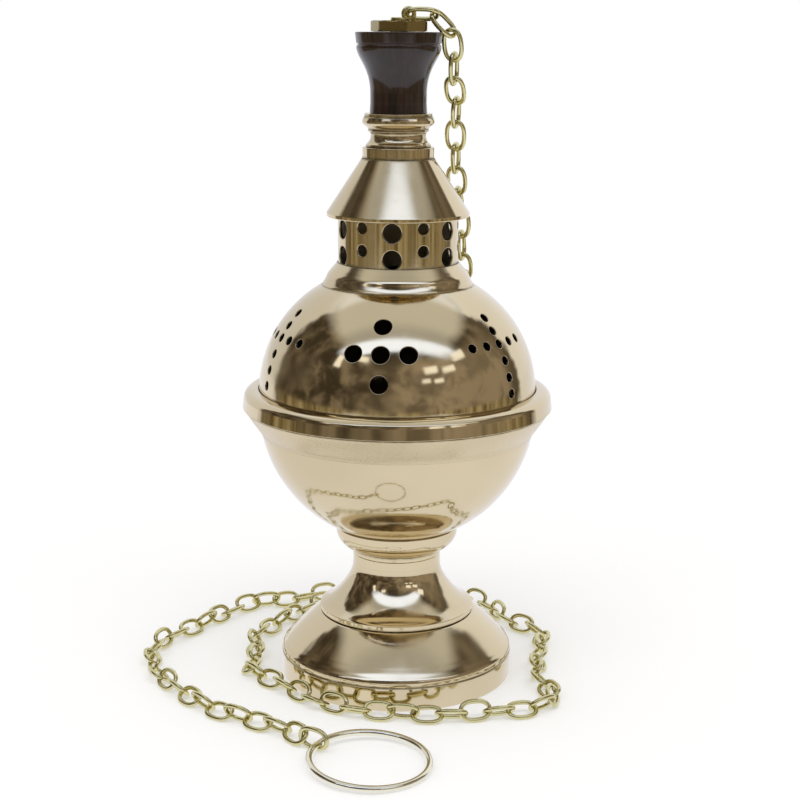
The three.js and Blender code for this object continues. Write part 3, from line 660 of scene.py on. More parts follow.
# Four links over the handle's edge, then the run of links of one pitch along the route, then the ring's own link.
def addChain(v, r):
    slack = v["wire"] + v["gap"]
    bearing = np.array(v["eye"])
    path = [bearing]
    middles, along, across, before = [], [], [], None
    for direction, roll in v["first"]:
        direction = unit(np.array(direction))
        lead = v["eyeRadius"] - slack / 2 if before is None else slack / 2 * (1 - before @ direction)
        start = bearing + direction * lead
        bearing = start + direction * v["pitch"]
        middles.append((start + bearing) / 2)
        along.append(direction)
        across.append(sideAfterTurn(direction, roll))
        path.append(bearing)
        before = direction
    azimuth = math.radians(r["azimuth"])
    outward = np.array([math.cos(azimuth), math.sin(azimuth), 0])
    hold = r["outer"] - r["wire"] - v["gap"] / 2
    nearEnd = np.array([*r["centre"], v["width"] / 2]) + outward * hold
    farEnd = nearEnd + outward * v["pitch"]
    floor = [(x, y, v["floorHeight"]) for x, y in [*v["onFloor"], (farEnd + outward * slack)[:2]]]
    route = throughCentripetal([bearing, *v["hanging"], *floor])
    distance = travelled(route)
    total = distance[-1] + slack / 2
    count = round(total / v["runPitch"])
    print("chain run:", round(distance[-1], 1), "mm,", count, "links, pitch", round(total / count, 3))
    marks = np.linspace(0, total, count + 1)
    ends = np.stack([np.interp(marks, distance, route[:, k]) for k in range(3)], axis=1)
    ends[-1] = [*farEnd[:2], v["floorHeight"]]
    run = unit(np.diff(ends, axis=0))
    centre = (ends[1:] + ends[:-1]) / 2
    side, rise = runSides(run, centre[:, 2:], v)
    centre[:, 2:] += rise
    middles = np.array([*middles, *centre, (nearEnd + farEnd) / 2])
    along = np.array([*along, *run, outward])
    across = np.array([*across, *side, [0, 0, 1.0]])
    span = v["pitch"] + v["wire"] + slack
    runSpan = v["runPitch"] + 2 * v["wire"] + v["runGap"]
    lengths = [span] * len(v["first"]) + [runSpan] * count + [span]
    made = addMesh("chain", *linkMeshes(middles, along, across, lengths, v), [], finishes["chain_brass"])
    place(made, None, "chain_brass", "chain_hanging", "chain_on_floor", "chain_end_link",
          *[f"chain_link_{i + 1}" for i in range(4)])
    return made, np.concatenate([path[:-1], route[:-1:v["pathStep"]], [farEnd, nearEnd]]) * mm


# The finger ring: a circle of wire, tilted so that the last link holds its high side.
def addRing(v):
    mean = v["outer"] - v["wire"] / 2
    tilt = math.asin((v["lift"] - v["wire"] / 2) / (2 * mean))
    t = circle(v["around"])
    outward = np.stack([np.cos(t), np.sin(t), 0 * t], axis=1)
    points, normals, quads = wireLoop(outward * mean, outward, [0, 0, 1], v["wire"], v["section"])
    turn = np.array(Matrix.Rotation(math.radians(v["azimuth"]), 3, "Z") @ Matrix.Rotation(-tilt, 3, "Y")).T
    points = points @ turn + [*v["centre"], (v["lift"] + v["wire"] / 2) / 2]
    made = addMesh("ring", points, normals @ turn, quads, [], finishes["ring_brass"])
    place(made, "ring", "chain_brass", "end_ring")
    return made


chainPiece, chainPath = addChain(chain, ring)
ringPiece = addRing(ring)
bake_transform(chainPiece)

# Foot, stem, cup, bowl and rim ring. Outlines are (radius, height, rounding).

sheet = 1.0
rodBore = 3.4


# Every few points of a curve, from its end back, moved inwards and down.
def inside(line, step, inwards, down):
    return [(r - inwards, z - down, 0) for r, z, _ in line[::-step]]


footShoulder = through([
    (41.22, 8.75), (41.15, 9.9), (40.82, 10.75), (40.05, 11.68), (39.25, 12.63), (38.25, 13.7), (37.2, 14.8),
    (35.1, 16.9), (33.1, 18.8), (31.3, 20.42), (29.6, 21.83), (27.8, 23.2),
], 4)
foot = {
    "body": "bowl",
    "node": "foot_base",
    "segments": 256,
    "outline": [
        (38.3, 0, 0.3), (41.4, 0, 0.55), (41.4, 8.1, 0.2), (41.05, 8.38, 0.1), *footShoulder, (24.0, 23.25, 0.2),
        (24.0, 22.2, 0.2), *inside(footShoulder[12:], 3, 0.8, 0.7),
        (40.1, 9.5, 0), (40.1, 1.2, 0.3), (38.3, 1.2, 0.3),
    ],
    "seams": [(41.15, 8.4)],
    "reach": 0.25,
}
stemFlare = through([
    (27.0, 25.55), (25.6, 26.25), (24.2, 27.15), (22.6, 28.55), (21.0, 30.2), (19.6, 31.9), (18.3, 33.7),
    (17.2, 35.5), (16.3, 37.4), (15.75, 39.4), (15.6, 41.2),
], 4)
stem = {
    "body": "bowl",
    "node": "foot_stem",
    "segments": 224,
    "outline": [
        (24.9, 23.46, 0), (27.5, 23.46, 0.2), (27.5, 25.2, 0.2), *stemFlare, (15.6, 44.6, 0.25),
        (rodBore, 44.6, 0.15), (rodBore, 43.6, 0.15), (14.6, 43.6, 0.5),
        *inside(stemFlare, 3, 0.8, 0.6)[:-2],
    ],
    "seams": [(27.5, 23.46)],
    "reach": 0.3,
}
bowlShape = {
    "radius": 48.6,
    "centre": 98.4,
    "top": 96.2,
    "samples": 120,
    "soot": 0.55,
    "skin": 0.3,
}


# Height at a radius of the lower half of a sphere that is `over` outside the bowl's: centre - sqrt(R^2 - r^2).
def onBowl(r, over):
    return bowlShape["centre"] - np.sqrt((bowlShape["radius"] + over) ** 2 - r ** 2)


# The bowl's outside from its bore up, and its inside back down.
def bowlOutline(v):
    low, high = math.asin(rodBore / v["radius"]), math.acos((v["centre"] - v["top"]) / v["radius"])
    t = np.linspace(low, high, v["samples"])
    sides = [(v["radius"], t), (v["radius"] - sheet, t[::-1])]
    return [(r * math.sin(a), v["centre"] - r * math.cos(a), 0) for r, angles in sides for a in angles]


def bowlSoot(p):
    v = bowlShape
    return v["soot"] * (np.linalg.norm(p - [0, 0, v["centre"]], axis=1) < v["radius"] - sheet + v["skin"])


cup = {
    "body": "bowl",
    "node": "stem_cup",
    "segments": 224,
    "outline": [
        (rodBore, 44.62, 0.1), (15.75, 44.62, 0.2), (15.85, 46.3, 0.12),
        *bent((16.1, 46.6), (18.6, 46.95), (21.65, 49.6), (21.65, 53.2), count=26),
        *[(r, onBowl(r, 0.05), 0) for r in [*np.linspace(21.55, rodBore + 0.2, 30), rodBore]],
    ],
    "seams": [(15.95, 46.45)],
    "reach": 0.4,
}
bowl = {
    "body": "bowl",
    "node": "bowl_shell",
    "segments": 256,
    "outline": bowlOutline(bowlShape),
    "soot": bowlSoot,
    "seams": [(21.7, 54.85)],
    "reach": 0.35,
}
ledge = {
    "radius": 44.0,
    "bottom": 96.4,
    "notch": 47.3,
    "notchHalf": 6.3,
    "notchSlope": 0.5,  # degrees to either side of a notch's edge
    "apart": 120,
    "firstLug": 30,
}


# The ledge's bore steps out to the notch radius within the width of each of the three notches.
def notches(radius, height, angle):
    v = ledge
    half = v["apart"] / 2
    away = np.abs((np.degrees(angle) - v["firstLug"] + half) % v["apart"] - half)
    inside = np.clip((v["notchHalf"] + v["notchSlope"] - away) / (2 * v["notchSlope"]), 0, 1)
    bore = v["radius"] + (v["notch"] - v["radius"]) * inside
    return np.where(height > v["bottom"] - 0.1, np.maximum(radius, bore), radius), height


# The rim ring's seat on the bowl, from its top down.
rimSeat = [(math.sqrt((bowlShape["radius"] + 0.04) ** 2 - (bowlShape["centre"] - z) ** 2), z, 0)
           for z in np.linspace(96.2, 88.9, 14)]
rim = {
    "body": "bowl",
    "finish": "satin_brass",
    "node": "bowl_rim",
    "segments": 360,
    "outline": [
        *through([(rimSeat[-1][0] + 0.03, 88.95), (48.55, 90.4), (49.9, 92.3), (51.2, 94.15), (52.3, 95.8),
                  (53.1, 97.05), (53.55, 97.9)], 6),
        (53.6, 98.15, 0.1), (ledge["radius"], 98.15, 0.25), (ledge["radius"], ledge["bottom"], 0.25), *rimSeat,
    ],
    "reshape": notches,
    "seams": [(53.7, 98.2)],
    "reach": 0.4,
}
cupWall = through([(21.5, 56.6), (25.2, 59.3), (30.8, 66.9), (35.5, 77.4), (37.9, 86.0)], 8)
fireCup = {
    "body": "liner",
    "slot": "blackened_steel",
    "node": "fire_cup",
    "segments": 160,
    "outline": [
        (0, 56.4, 0), (20.0, 56.4, 0.6), *cupWall, (38.0, 87.2, 0.35), (37.1, 87.2, 0.35),
        *through(inside(cupWall, 4, 0.855, -0.27), 4), (19.5, 57.3, 0.8), (0, 57.3, 0),
    ],
}
addTurned("foot", foot)
addTurned("stem", stem)
addTurned("cup", cup)
addTurned("bowl", bowl)
addTurned("rimRing", rim)
addTurned("fireCup", fireCup)
print("foot, stem, cup, bowl, rim ring and fire cup made")

# Screws, washers and nuts

nuts = {
    "stemNut": {"body": "bowl", "slot": "steel", "node": "stem_nut", "flats": 10.0, "bottom": 38.8, "height": 3.2},
    "rodNut": {"slot": "steel", "node": "rod_nut", "flats": 10.0, "bottom": 178.9, "height": 3.2},
    "topNut": {"slot": "nut_brass", "node": "top_nut", "flats": 17.0, "bottom": 226.45, "height": 3.7,
               "firstCorner": 18},
}
nutShape = {
    "bore": 3.2,
    "chamferFrom": 1.02,  # of the half width across the flats, where the end faces stop
    "chamferStart": 0.98,  # of that, where the cones start
    "outward": 0.6,  # width of the outline's outer part, which is spread out to the hexagon
    "cornerCut": 0.12,
    "slope": 12,
    "sharp": 24,
    "columns": 16,  # on a side
}
washers = {
    "stemWasher": {"body": "bowl", "node": "stem_washer", "radius": 8.0, "bottom": 42.3, "thickness": 0.9},
    "rodWasher": {"node": "rod_washer", "radius": 9.5, "bottom": 182.4, "thickness": 0.9},
}
screw = {
    "body": "bowl",
    "slot": "steel",
    "node": "stem_screw",
    "segments": 48,
    "outline": [
        (0, 36.0, 0), (2.6, 36.0, 0.2), (3.0, 36.5, 0.15), (3.0, 51.3, 0), (3.0, 51.4, 0.1), (5.5, 51.4, 0.2),
        (5.5, 53.0, 0.5), (4.0, 54.4, 0.8), (0, 54.4, 0),
    ],
}


# A hexagon nut: radius flats / 2 / cos(angle from the middle of its side), its corners cut by two cones.
def addNut(name, v, s):
    flat, bottom, top = v["flats"] / 2, v["bottom"], v["bottom"] + v["height"]
    chamfer = flat * s["chamferFrom"]
    edge = chamfer + s["outward"]
    start = chamfer * s["chamferStart"]

    def hexagon(radius, levels, angle):
        turn = (angle - math.radians(v.get("firstCorner", 0))) % (math.pi / 3) - math.pi / 6
        side = np.minimum(flat / np.cos(turn), flat / math.cos(math.pi / 6) - s["cornerCut"])
        share = np.clip((radius - chamfer) / s["outward"], 0, 1)
        wide = np.where(radius > chamfer - 1e-6, start + (side - start) * share, radius)
        limit = v["height"] / 2 - np.maximum(wide - start, 0) * math.tan(math.radians(s["slope"]))
        middle = bottom + v["height"] / 2
        return wide, middle + np.clip(levels - middle, -limit, limit)

    outline = [(s["bore"], bottom, 0.15), (chamfer, bottom, 0), (edge, bottom, 0), (edge, top, 0),
               (chamfer, top, 0), (s["bore"], top, 0.15)]
    made = addTurned(name, {**v, "segments": 6 * s["columns"], "outline": outline, "reshape": hexagon})
    made.data.set_sharp_from_angle(angle=math.radians(s["sharp"]))


def addWasher(name, v):
    radius, bottom, top = v["radius"], v["bottom"], v["bottom"] + v["thickness"]
    outline = [(rodBore, bottom, 0.1), (radius, bottom, 0.15), (radius, top, 0.2), (rodBore, top, 0.1)]
    addTurned(name, {**v, "slot": "steel", "segments": 64, "outline": outline})


for name, v in nuts.items():
    addNut(name, v, nutShape)
for name, v in washers.items():
    addWasher(name, v)
addTurned("stemScrew", screw)
print("screws, washers and nuts made")

# Lid

band = {
    "node": "lid_band",
    "segments": 288,
    "outline": [
        (48.85, 98.35, 0.2), (54.3, 98.35, 0.22), (53.85, 102.3, 0.14),
        *through([(53.77, 102.5), (53.4, 103.3), (52.75, 103.95), (51.9, 104.4), (50.8, 104.68), (49.8, 104.8),
                  (48.75, 104.86)], 7),
        (48.75, 104.6, 0), (48.85, 103.6, 0),
    ],
    "seams": [(48.7, 104.8), (54.4, 98.3)],
    "reach": 0.2,
}
dome = {
    "radius": 48.6,
    "rise": 45.8,
    "power": 2.1,
    "bottom": 98.7,
    "foot": 101.9,
    "crown": 19.0,
    "wall": 1.0,
    "samples": 3000,
    "crossAzimuth": -7.3,
    "largeRadius": 3.0,
    "largeHeights": (115.3, 124.4, 132.6),
    "largeArm": 12.25,
    "largeRows": (27, 16, 16, 33),  # grid rows from the edge to the holes and on to the crown
    "largeBlock": (4, 7),  # squares of the grid in a hole, and round it
    "smallRadius": 1.62,
    "smallHeights": (108.8, 114.2, 119.7, 125.1, 129.2, 133.2),
    "smallArm": 8.6,
    "smallRows": (16, 9, 9, 10, 8, 8, 32),
    "smallBlock": (3, 4),
    "smallArmRow": 3,
    "columns": (16, 28, 10, 10, 10, 10, 28, 16),  # from one large cross over a small one to the next
    "between": (24, 16),  # columns from a large cross to where the rows change, and over how many
    "chamfer": 0.22,
    "farTurn": -8.5,  # of the crosses behind, so that no hole in front lines up with one there
    "far": (132.6, 272.3, 19.7),  # azimuths of that part, and the width of its edges
    "seams": [(48.6, 104.8), (26.2, 141.2)],
    "reach": 0.2,
}


# Radius and height of the dome: a straight skirt, then |r/a|^p + |h/b|^p = 1 up to the crown's opening.
def domeProfile(v):
    t = np.linspace(0, math.acos((v["crown"] / v["radius"]) ** (v["power"] / 2)), v["samples"])
    r = v["radius"] * np.cos(t) ** (2 / v["power"])
    z = v["foot"] + v["rise"] * np.sin(t) ** (2 / v["power"])
    return np.append(v["radius"], r), np.append(v["bottom"], z)


# The turn from azimuth b to a, between minus half a turn and half a turn, in radians.
def swing(a, b):
    return (a - b + math.pi) % (2 * math.pi) - math.pi


# Quads between two loops of vertices.
def bridge(one, two):
    return np.stack([np.roll(one, -1), np.roll(two, -1), two, one], axis=1)


wallSoot = {"inside": 0.6, "edge": 0.15, "edgeMore": 0.25}
chamferSteps = (30, 60, 90)  # degrees of its quarter circle


# A pierced wall of revolution. Its grid is (azimuth, length along the profile), and lines of the grid run through
# the middle of every hole, (column, row, n, N, radius). In the block round a hole the grid's squares are drawn out
# to circles: a point at distance d in square k moves to R + (D - R) (k - n) / (N - n), where D is its distance in
# the block's last square. The chamfer at a hole's outer edge is a quarter circle.
class PiercedWall:
    def __init__(self, r, z, turn, arc, holes, v):
        line = np.stack([r, z], axis=1)
        self.length = travelled(line)
        self.r, self.z = r, z
        self.slope = unit(np.gradient(line, self.length, axis=0))
        self.turn, self.arc, self.holes, self.v = turn, arc, holes, v

    def radiusAt(self, s):
        return np.interp(s, self.length, self.r)

    def surface(self, azimuth, s, depth):
        dr, dz = (np.interp(s, self.length, self.slope[:, k]) for k in (0, 1))
        normal = unit(turned(dz, azimuth, -dr))
        point = turned(self.radiusAt(s), azimuth, np.interp(s, self.length, self.z))
        return point - normal * np.asarray(depth)[..., None], normal

    # A grid point's place on the wall from a hole's centre: right, up and distance.
    def fromHole(self, column, row, azimuth, s):
        x = swing(azimuth, self.turn[column]) * self.radiusAt(s)
        y = s - self.arc[row, column]
        return x, y, np.maximum(np.hypot(x, y), 1e-9)

    # The azimuth and length that lie at a distance `want` from the hole's centre, in the same direction.
    def toHole(self, column, row, x, y, d, want):
        s = self.arc[row, column] + y / d * want
        return self.turn[column] + x / d * want / self.radiusAt(s), s

    # Grid parameters with the holes drawn out to a radius of `extra` more than their own.
    def drawnOut(self, extra):
        azimuth = np.broadcast_to(self.turn, self.arc.shape).copy()
        s = self.arc.copy()
        for column, row, n, last, radius in self.holes:
            i, j = np.meshgrid(*2 * [np.arange(-last, last + 1)])
            square = np.maximum(np.abs(i), np.abs(j))
            i, j, square = i[square >= n], j[square >= n], square[square >= n]
            cols, rows = (column + i) % len(self.turn), row + j
            x, y, d = self.fromHole(column, row, self.turn[cols], self.arc[rows, cols])
            size = radius + extra
            want = size + (d * last / square - size) * (square - n) / (last - n)
            azimuth[rows, cols], s[rows, cols] = self.toHole(column, row, x, y, d, want)
        return azimuth, s

    # Columns and rows of the square of grid points that bounds a hole, in order.
    def loop(self, column, row, n):
        side = np.arange(-n, n)
        i = np.concatenate([side, np.full(2 * n, n), -side, np.full(2 * n, -n)])
        return (column + i) % len(self.turn), row + np.roll(i, 2 * n)

    def build(self, name, material):
        v = self.v
        rows, around = self.arc.shape
        shift = rows * around
        azimuth, s = self.drawnOut(v["chamfer"])
        outer, outerNormal = self.surface(azimuth, s, np.zeros_like(s))
        turnIn, sIn = self.drawnOut(0)
        inner, innerNormal = self.surface(turnIn, sIn, np.full_like(s, v["wall"]))
        points, normals = [outer.reshape(-1, 3), inner.reshape(-1, 3)], [outerNormal.reshape(-1, 3)]
        normals.append(-innerNormal.reshape(-1, 3))
        dark = [np.zeros(shift), np.full(shift, wallSoot["inside"])]
        inHole = np.zeros((rows - 1, around), bool)
        for column, row, n, _, _ in self.holes:
            j, i = np.meshgrid(np.arange(row - n, row + n), np.arange(column - n, column + n), indexing="ij")
            inHole[j, i % around] = True
        quads = gridQuads(rows, around, False).reshape(rows - 1, around, 4)[~inHole]
        low, high = np.arange(around), np.arange(shift - around, shift)
        faces = [quads, quads[:, ::-1] + shift, bridge(low + shift, low), bridge(high, high + shift)]
        made = 2 * shift
        for column, row, n, _, radius in self.holes:
            cols, rws = self.loop(column, row, n)
            x, y, d = self.fromHole(column, row, azimuth[rws, cols], s[rws, cols])
            centre, _ = self.surface(self.turn[column], self.arc[row, column], 0.0)
            count = len(cols)
            rings = [rws * around + cols]
            for a in np.radians(chamferSteps):
                size = radius + v["chamfer"] * (1 - math.sin(a))
                depth = np.full(count, v["chamfer"] * (1 - math.cos(a)))
                point, normal = self.surface(*self.toHole(column, row, x, y, d, size), depth)
                points.append(point)
                normals.append(math.cos(a) * normal - math.sin(a) * unit(point - centre))
                dark.append(np.full(count, wallSoot["edge"] + wallSoot["edgeMore"] * math.sin(a)))
                rings.append(made + np.arange(count))
                made += count
            rings.append(rings[0] + shift)
            for one, two in zip(rings, rings[1:]):
                faces.append(bridge(one, two))
        points, faces = np.concatenate(points), np.concatenate(faces)
        flat = np.stack([np.hypot(points[:, 0], points[:, 1]), points[:, 2]], axis=1)
        crevice = sum(np.exp(-(np.linalg.norm(flat - seam, axis=1) / v["reach"]) ** 2) for seam in v["seams"])
        used = np.zeros(len(points), bool)
        used[faces.ravel()] = True
        return addMesh(name, points[used], np.concatenate(normals)[used], (np.cumsum(used) - 1)[faces], [], material,
                       crevice=np.clip(crevice, 0, 1)[used], soot=np.concatenate(dark)[used])


# Values at equal steps between the anchors, a given number of cells from each to the next.
def stepped(anchors, cells):
    return np.concatenate([np.linspace(a, b, n, endpoint=False) for a, b, n in zip(anchors, anchors[1:], cells)])


# Lengths of the grid's rows along the profile for each column, which has its place `index` in a repeat of `every`.
# Near the large holes the rows run through their heights, and near the small holes through theirs.
def gridRows(v, index, every, z, length):
    start, width = v["between"]
    weight = smooth((np.minimum(index % every, every - index % every) - start) / width)
    large, small = (
        np.append(stepped([0, *np.interp(v[f"{kind}Heights"], z, length), length[-1]], v[f"{kind}Rows"]), length[-1])
        for kind in ("large", "small"))
    return large[:, None] * (1 - weight) + small[:, None] * weight


def addDome(v):
    r, z = domeProfile(v)
    length = travelled(np.stack([r, z], axis=1))
    arm = v["smallArm"]
    third = [0, v["largeArm"], 60 - 2 * arm, 60 - arm, 60, 60 + arm, 60 + 2 * arm, 120 - v["largeArm"], 120]
    turn = np.concatenate([stepped(third, v["columns"]) + 120 * k for k in range(3)]) + v["crossAzimuth"]
    first, last, edge = v["far"]
    turn = np.radians(turn + v["farTurn"] * smooth((turn - first) / edge) * smooth((last - turn) / edge))
    arms = np.cumsum(v["columns"])
    arc = gridRows(v, np.arange(len(turn)), arms[-1], z, length)
    large, small = np.cumsum(v["largeRows"])[:-1], np.cumsum(v["smallRows"])[:-1]
    ofLarge, ofSmall = (*v["largeBlock"], v["largeRadius"]), (*v["smallBlock"], v["smallRadius"])
    holes = []
    for at in arms[-1] * np.arange(3):
        holes += [(at, row, *ofLarge) for row in large]
        holes += [((at + side) % len(turn), large[1], *ofLarge) for side in (-arms[0], arms[0])]
        holes += [(at + arms[3], row, *ofSmall) for row in small]
        holes += [(at + column, small[v["smallArmRow"]], *ofSmall) for column in arms[[1, 2, 4, 5]]]
    made = PiercedWall(r, z, turn, arc, holes, v).build("dome", finishes["brass"])
    place(made, "lid", "brass", "dome_shell")


lantern = {
    "radius": 20.8,
    "bottom": 144.1,
    "top": 164.75,
    "wall": 1.0,
    "samples": 60,
    "pairs": 6,
    "largeAzimuth": -5.5,
    "largeRadius": 3.2,
    "largeHeights": (152.1, 161.0),
    "largeRows": (15, 16, 8),
    "largeBlocks": ((5, 8), (5, 7)),
    "smallRadius": 1.95,
    "smallHeights": (154.8, 162.4),
    "smallRows": (20, 14, 5),
    "smallBlock": (3, 5),
    "columns": 20,  # between a large and a small hole
    "between": (8, 7),
    "chamfer": 0.35,
    "farTurn": -3.4,
    "far": (118, 56),  # degrees from the middle of the back, and the width of that part's edges
    "seams": [(20.8, 149.2), (20.8, 164.8)],
    "reach": 0.4,
}


def addLantern(v):
    z = np.linspace(v["bottom"], v["top"], v["samples"])
    pair, around = 2 * v["columns"], 2 * v["pairs"] * v["columns"]
    fromFirst = np.arange(around) * 360 / around
    farEdge, width = v["far"]
    behind = smooth((farEdge - np.abs(fromFirst - 180)) / width)
    turn = np.radians(fromFirst + v["largeAzimuth"] + v["farTurn"] * behind)
    arc = gridRows(v, np.arange(around), pair, z, z - v["bottom"])
    large, small = np.cumsum(v["largeRows"])[:-1], np.cumsum(v["smallRows"])[:-1]
    holes = []
    for at in pair * np.arange(v["pairs"]):
        holes += [(at, row, *block, v["largeRadius"]) for row, block in zip(large, v["largeBlocks"])]
        holes += [(at + v["columns"], row, *v["smallBlock"], v["smallRadius"]) for row in small]
    radius = np.full_like(z, v["radius"])
    made = PiercedWall(radius, z, turn, arc, holes, v).build("lantern", finishes["brass"])
    place(made, "lid", "brass", "lantern_drum")


# The collar stands on the dome, whose profile its underside follows.
domeR, domeZ = domeProfile(dome)
collar = {
    "node": "lid_collar",
    "segments": 192,
    "outline": [
        *[(r, float(np.interp(-r, -domeR, domeZ)) + 0.05, 0) for r in np.linspace(20.95, 25.95, 9)],
        (26.1, 141.2, 0.1), (26.1, 141.7, 0.1),
        *through([(26.0, 141.9), (25.6, 142.5), (25.0, 143.6), (24.3, 145.1), (23.0, 146.7), (21.7, 148.2),
                  (21.05, 148.95)], 6),
        (20.95, 149.1, 0),
    ],
    "seams": [(21.0, 149.2), (26.1, 141.1)],
    "reach": 0.3,
}
roofSoot = {
    "amount": 0.7,
    "eave": (24.6, 166.1),
    "top": (12.5, 184.5),
    "skin": 0.4,
    "heights": (165.3, 184.3),
}


def sootedRoof(p):
    v = roofSoot
    (eave, low), (tip, high) = v["eave"], v["top"]
    line = eave + (tip - eave) * (p[:, 2] - low) / (high - low)
    inside = np.hypot(p[:, 0], p[:, 1]) < line - v["skin"]
    return v["amount"] * (inside & (p[:, 2] > v["heights"][0]) & (p[:, 2] < v["heights"][1]))


roof = {
    "node": "cone_roof",
    "segments": 224,
    "outline": [
        (19.9, 164.8, 0.15), (24.6, 164.8, 0.35), (24.6, 166.1, 0.3), (12.5, 184.5, 0.2), (rodBore, 184.5, 0.15),
        (rodBore, 183.6, 0.15), (11.8, 183.6, 0.4), (23.3, 166.3, 0.4), (19.9, 165.7, 0.15),
    ],
    "soot": sootedRoof,
    "seams": [(20.9, 164.8), (12.4, 184.5)],
    "reach": 0.5,
}
ferrule = {
    "node": "ferrule_band",
    "segments": 192,
    "outline": [(rodBore, 184.55, 0.1), (12.3, 184.55, 0.15), (12.3, 188.25, 0.3), (rodBore, 188.25, 0.1)],
    "seams": [(12.3, 184.55)],
    "reach": 0.4,
}
moulding = {
    "node": "neck_moulding",
    "segments": 192,
    "outline": [
        (rodBore, 188.3, 0.1), (11.2, 188.3, 0.15),
        *through([(11.1, 189.1), (10.1, 190.1), (9.55, 191.2), (9.45, 192.3), (9.6, 193.1)], 6),
        (9.75, 193.3, 0.1), (10.35, 193.5, 0.15), (10.35, 194.1, 0.15),
        *through([(10.25, 194.35), (11.0, 195.1), (11.9, 195.75)], 5),
        (12.3, 196.3, 0.4), (12.3, 197.3, 0.5), (11.9, 198.2, 0.3), (11.55, 198.5, 0.1), (11.6, 199.55, 0.2),
        (rodBore, 199.55, 0.1),
    ],
    "seams": [(9.7, 193.3), (11.2, 188.3), (11.6, 198.5)],
    "reach": 0.4,
}
handle = {
    "slot": "dark_wood",
    "node": "wood_handle",
    "segments": 192,
    "outline": [
        (rodBore, 199.6, 0.1), (9.8, 199.6, 0.2), (9.6, 203.0, 0),
        *bent((9.6, 206.0), (9.6, 214.5), (13.8, 217.3), (14.3, 221.0), count=34),
        *bent((14.32, 221.1), (14.4, 222.05), (13.75, 222.4), count=6),
        (14.35, 222.7, 0.25), (14.8, 226.4, 0.4), (rodBore, 226.4, 0.2),
    ],
    "seams": [(13.75, 222.4)],
    "reach": 0.3,
}
rod = {
    "slot": "steel",
    "node": "tie_rod",
    "segments": 48,
    "outline": [
        (0, 178.0, 0), (2.7, 178.0, 0.2), (3.0, 178.4, 0.1), (3.0, 229.5, 0), (2.7, 229.88, 0.15),
        (1.5, 229.88, 0.1), (1.5, 222.8, 0.1), (0, 222.8, 0),
    ],
}
eyePin = {
    "outline": [
        (0, 223.2, 0), (1.1, 223.2, 0.2), (1.1, 230.2, 0), (2.8, 230.2, 0.2), (2.8, 231.2, 0.45), (0, 231.2, 0),
    ],
    "side": 0.5,
    "segments": 48,
    "section": 16,
}


# The swivel eye: a pin with a round button, and a ring of wire that stands on it.
def addEye(v, c):
    points, normals, quads, triangles = turnedArrays(rounded(v["outline"], False, v["side"]), v["segments"], False)
    t = circle(v["segments"])
    outward = np.stack([np.cos(t), 0 * t, np.sin(t)], axis=1)
    loop = wireLoop(np.array(c["eye"]) + outward * c["eyeRadius"], outward, [0, 1, 0], c["wire"], v["section"])
    quads = np.concatenate([quads, loop[2][:, ::-1] + len(points)])
    points, normals = np.concatenate([points, loop[0]]), np.concatenate([normals, loop[1]])
    made = addMesh("swivelEye", points, normals, quads, triangles, finishes["chain_brass"])
    place(made, "swivel", "chain_brass", "swivel_eye")


addTurned("lidBand", band)
addDome(dome)
addTurned("collar", collar)
addLantern(lantern)
addTurned("roof", roof)
addTurned("ferrule", ferrule)
addTurned("moulding", moulding)
addTurned("handle", handle)
addTurned("tieRod", rod)
addEye(eyePin, chain)
print("lid, handle and swivel made")

# The lugs keep their CAD shape

for number in (1, 2, 3):
    lug = bpy.data.objects[f"bayonet_lug_{number}"]
    lug.data.materials.clear()
    lug.data.materials.append(finishes["brass"])

# Floor, lamp and surroundings

stage = {
    "floorFront": -840.0,
    "floorWaist": (600.0, 350.0),  # where its sides, straight from the front, spread towards the back
    "floorBack": 2600.0,
    "floorSide": (2400.0, 1390.0),
    "floorColor": rgb(0.82, 0.82, 0.82),
    "floorRoughness": 0.9,
    "cameraGlow": 0.275,
    "farGlow": 0.11,  # added to it between these two depths, so that the floor fades into the backdrop
    "farDepth": (150.0, 1150.0),
    "mirrorColor": rgb(0.94, 0.955, 1.07),
    "mirrorShare": 0.9,  # of that colour, where the metal mirrors the floor; the rest keeps the shadows
    "background": rgb(1, 1, 1),
    "fill": 0.75,
}
overhead = {
    "place": (0.05, -0.78, 1.5),  # metres
    "aim": (0, 0, 0.12),
    "size": (2.3, 0.55),
    "power": 7.6,
    "color": (1.0, 0.985, 0.955),
}
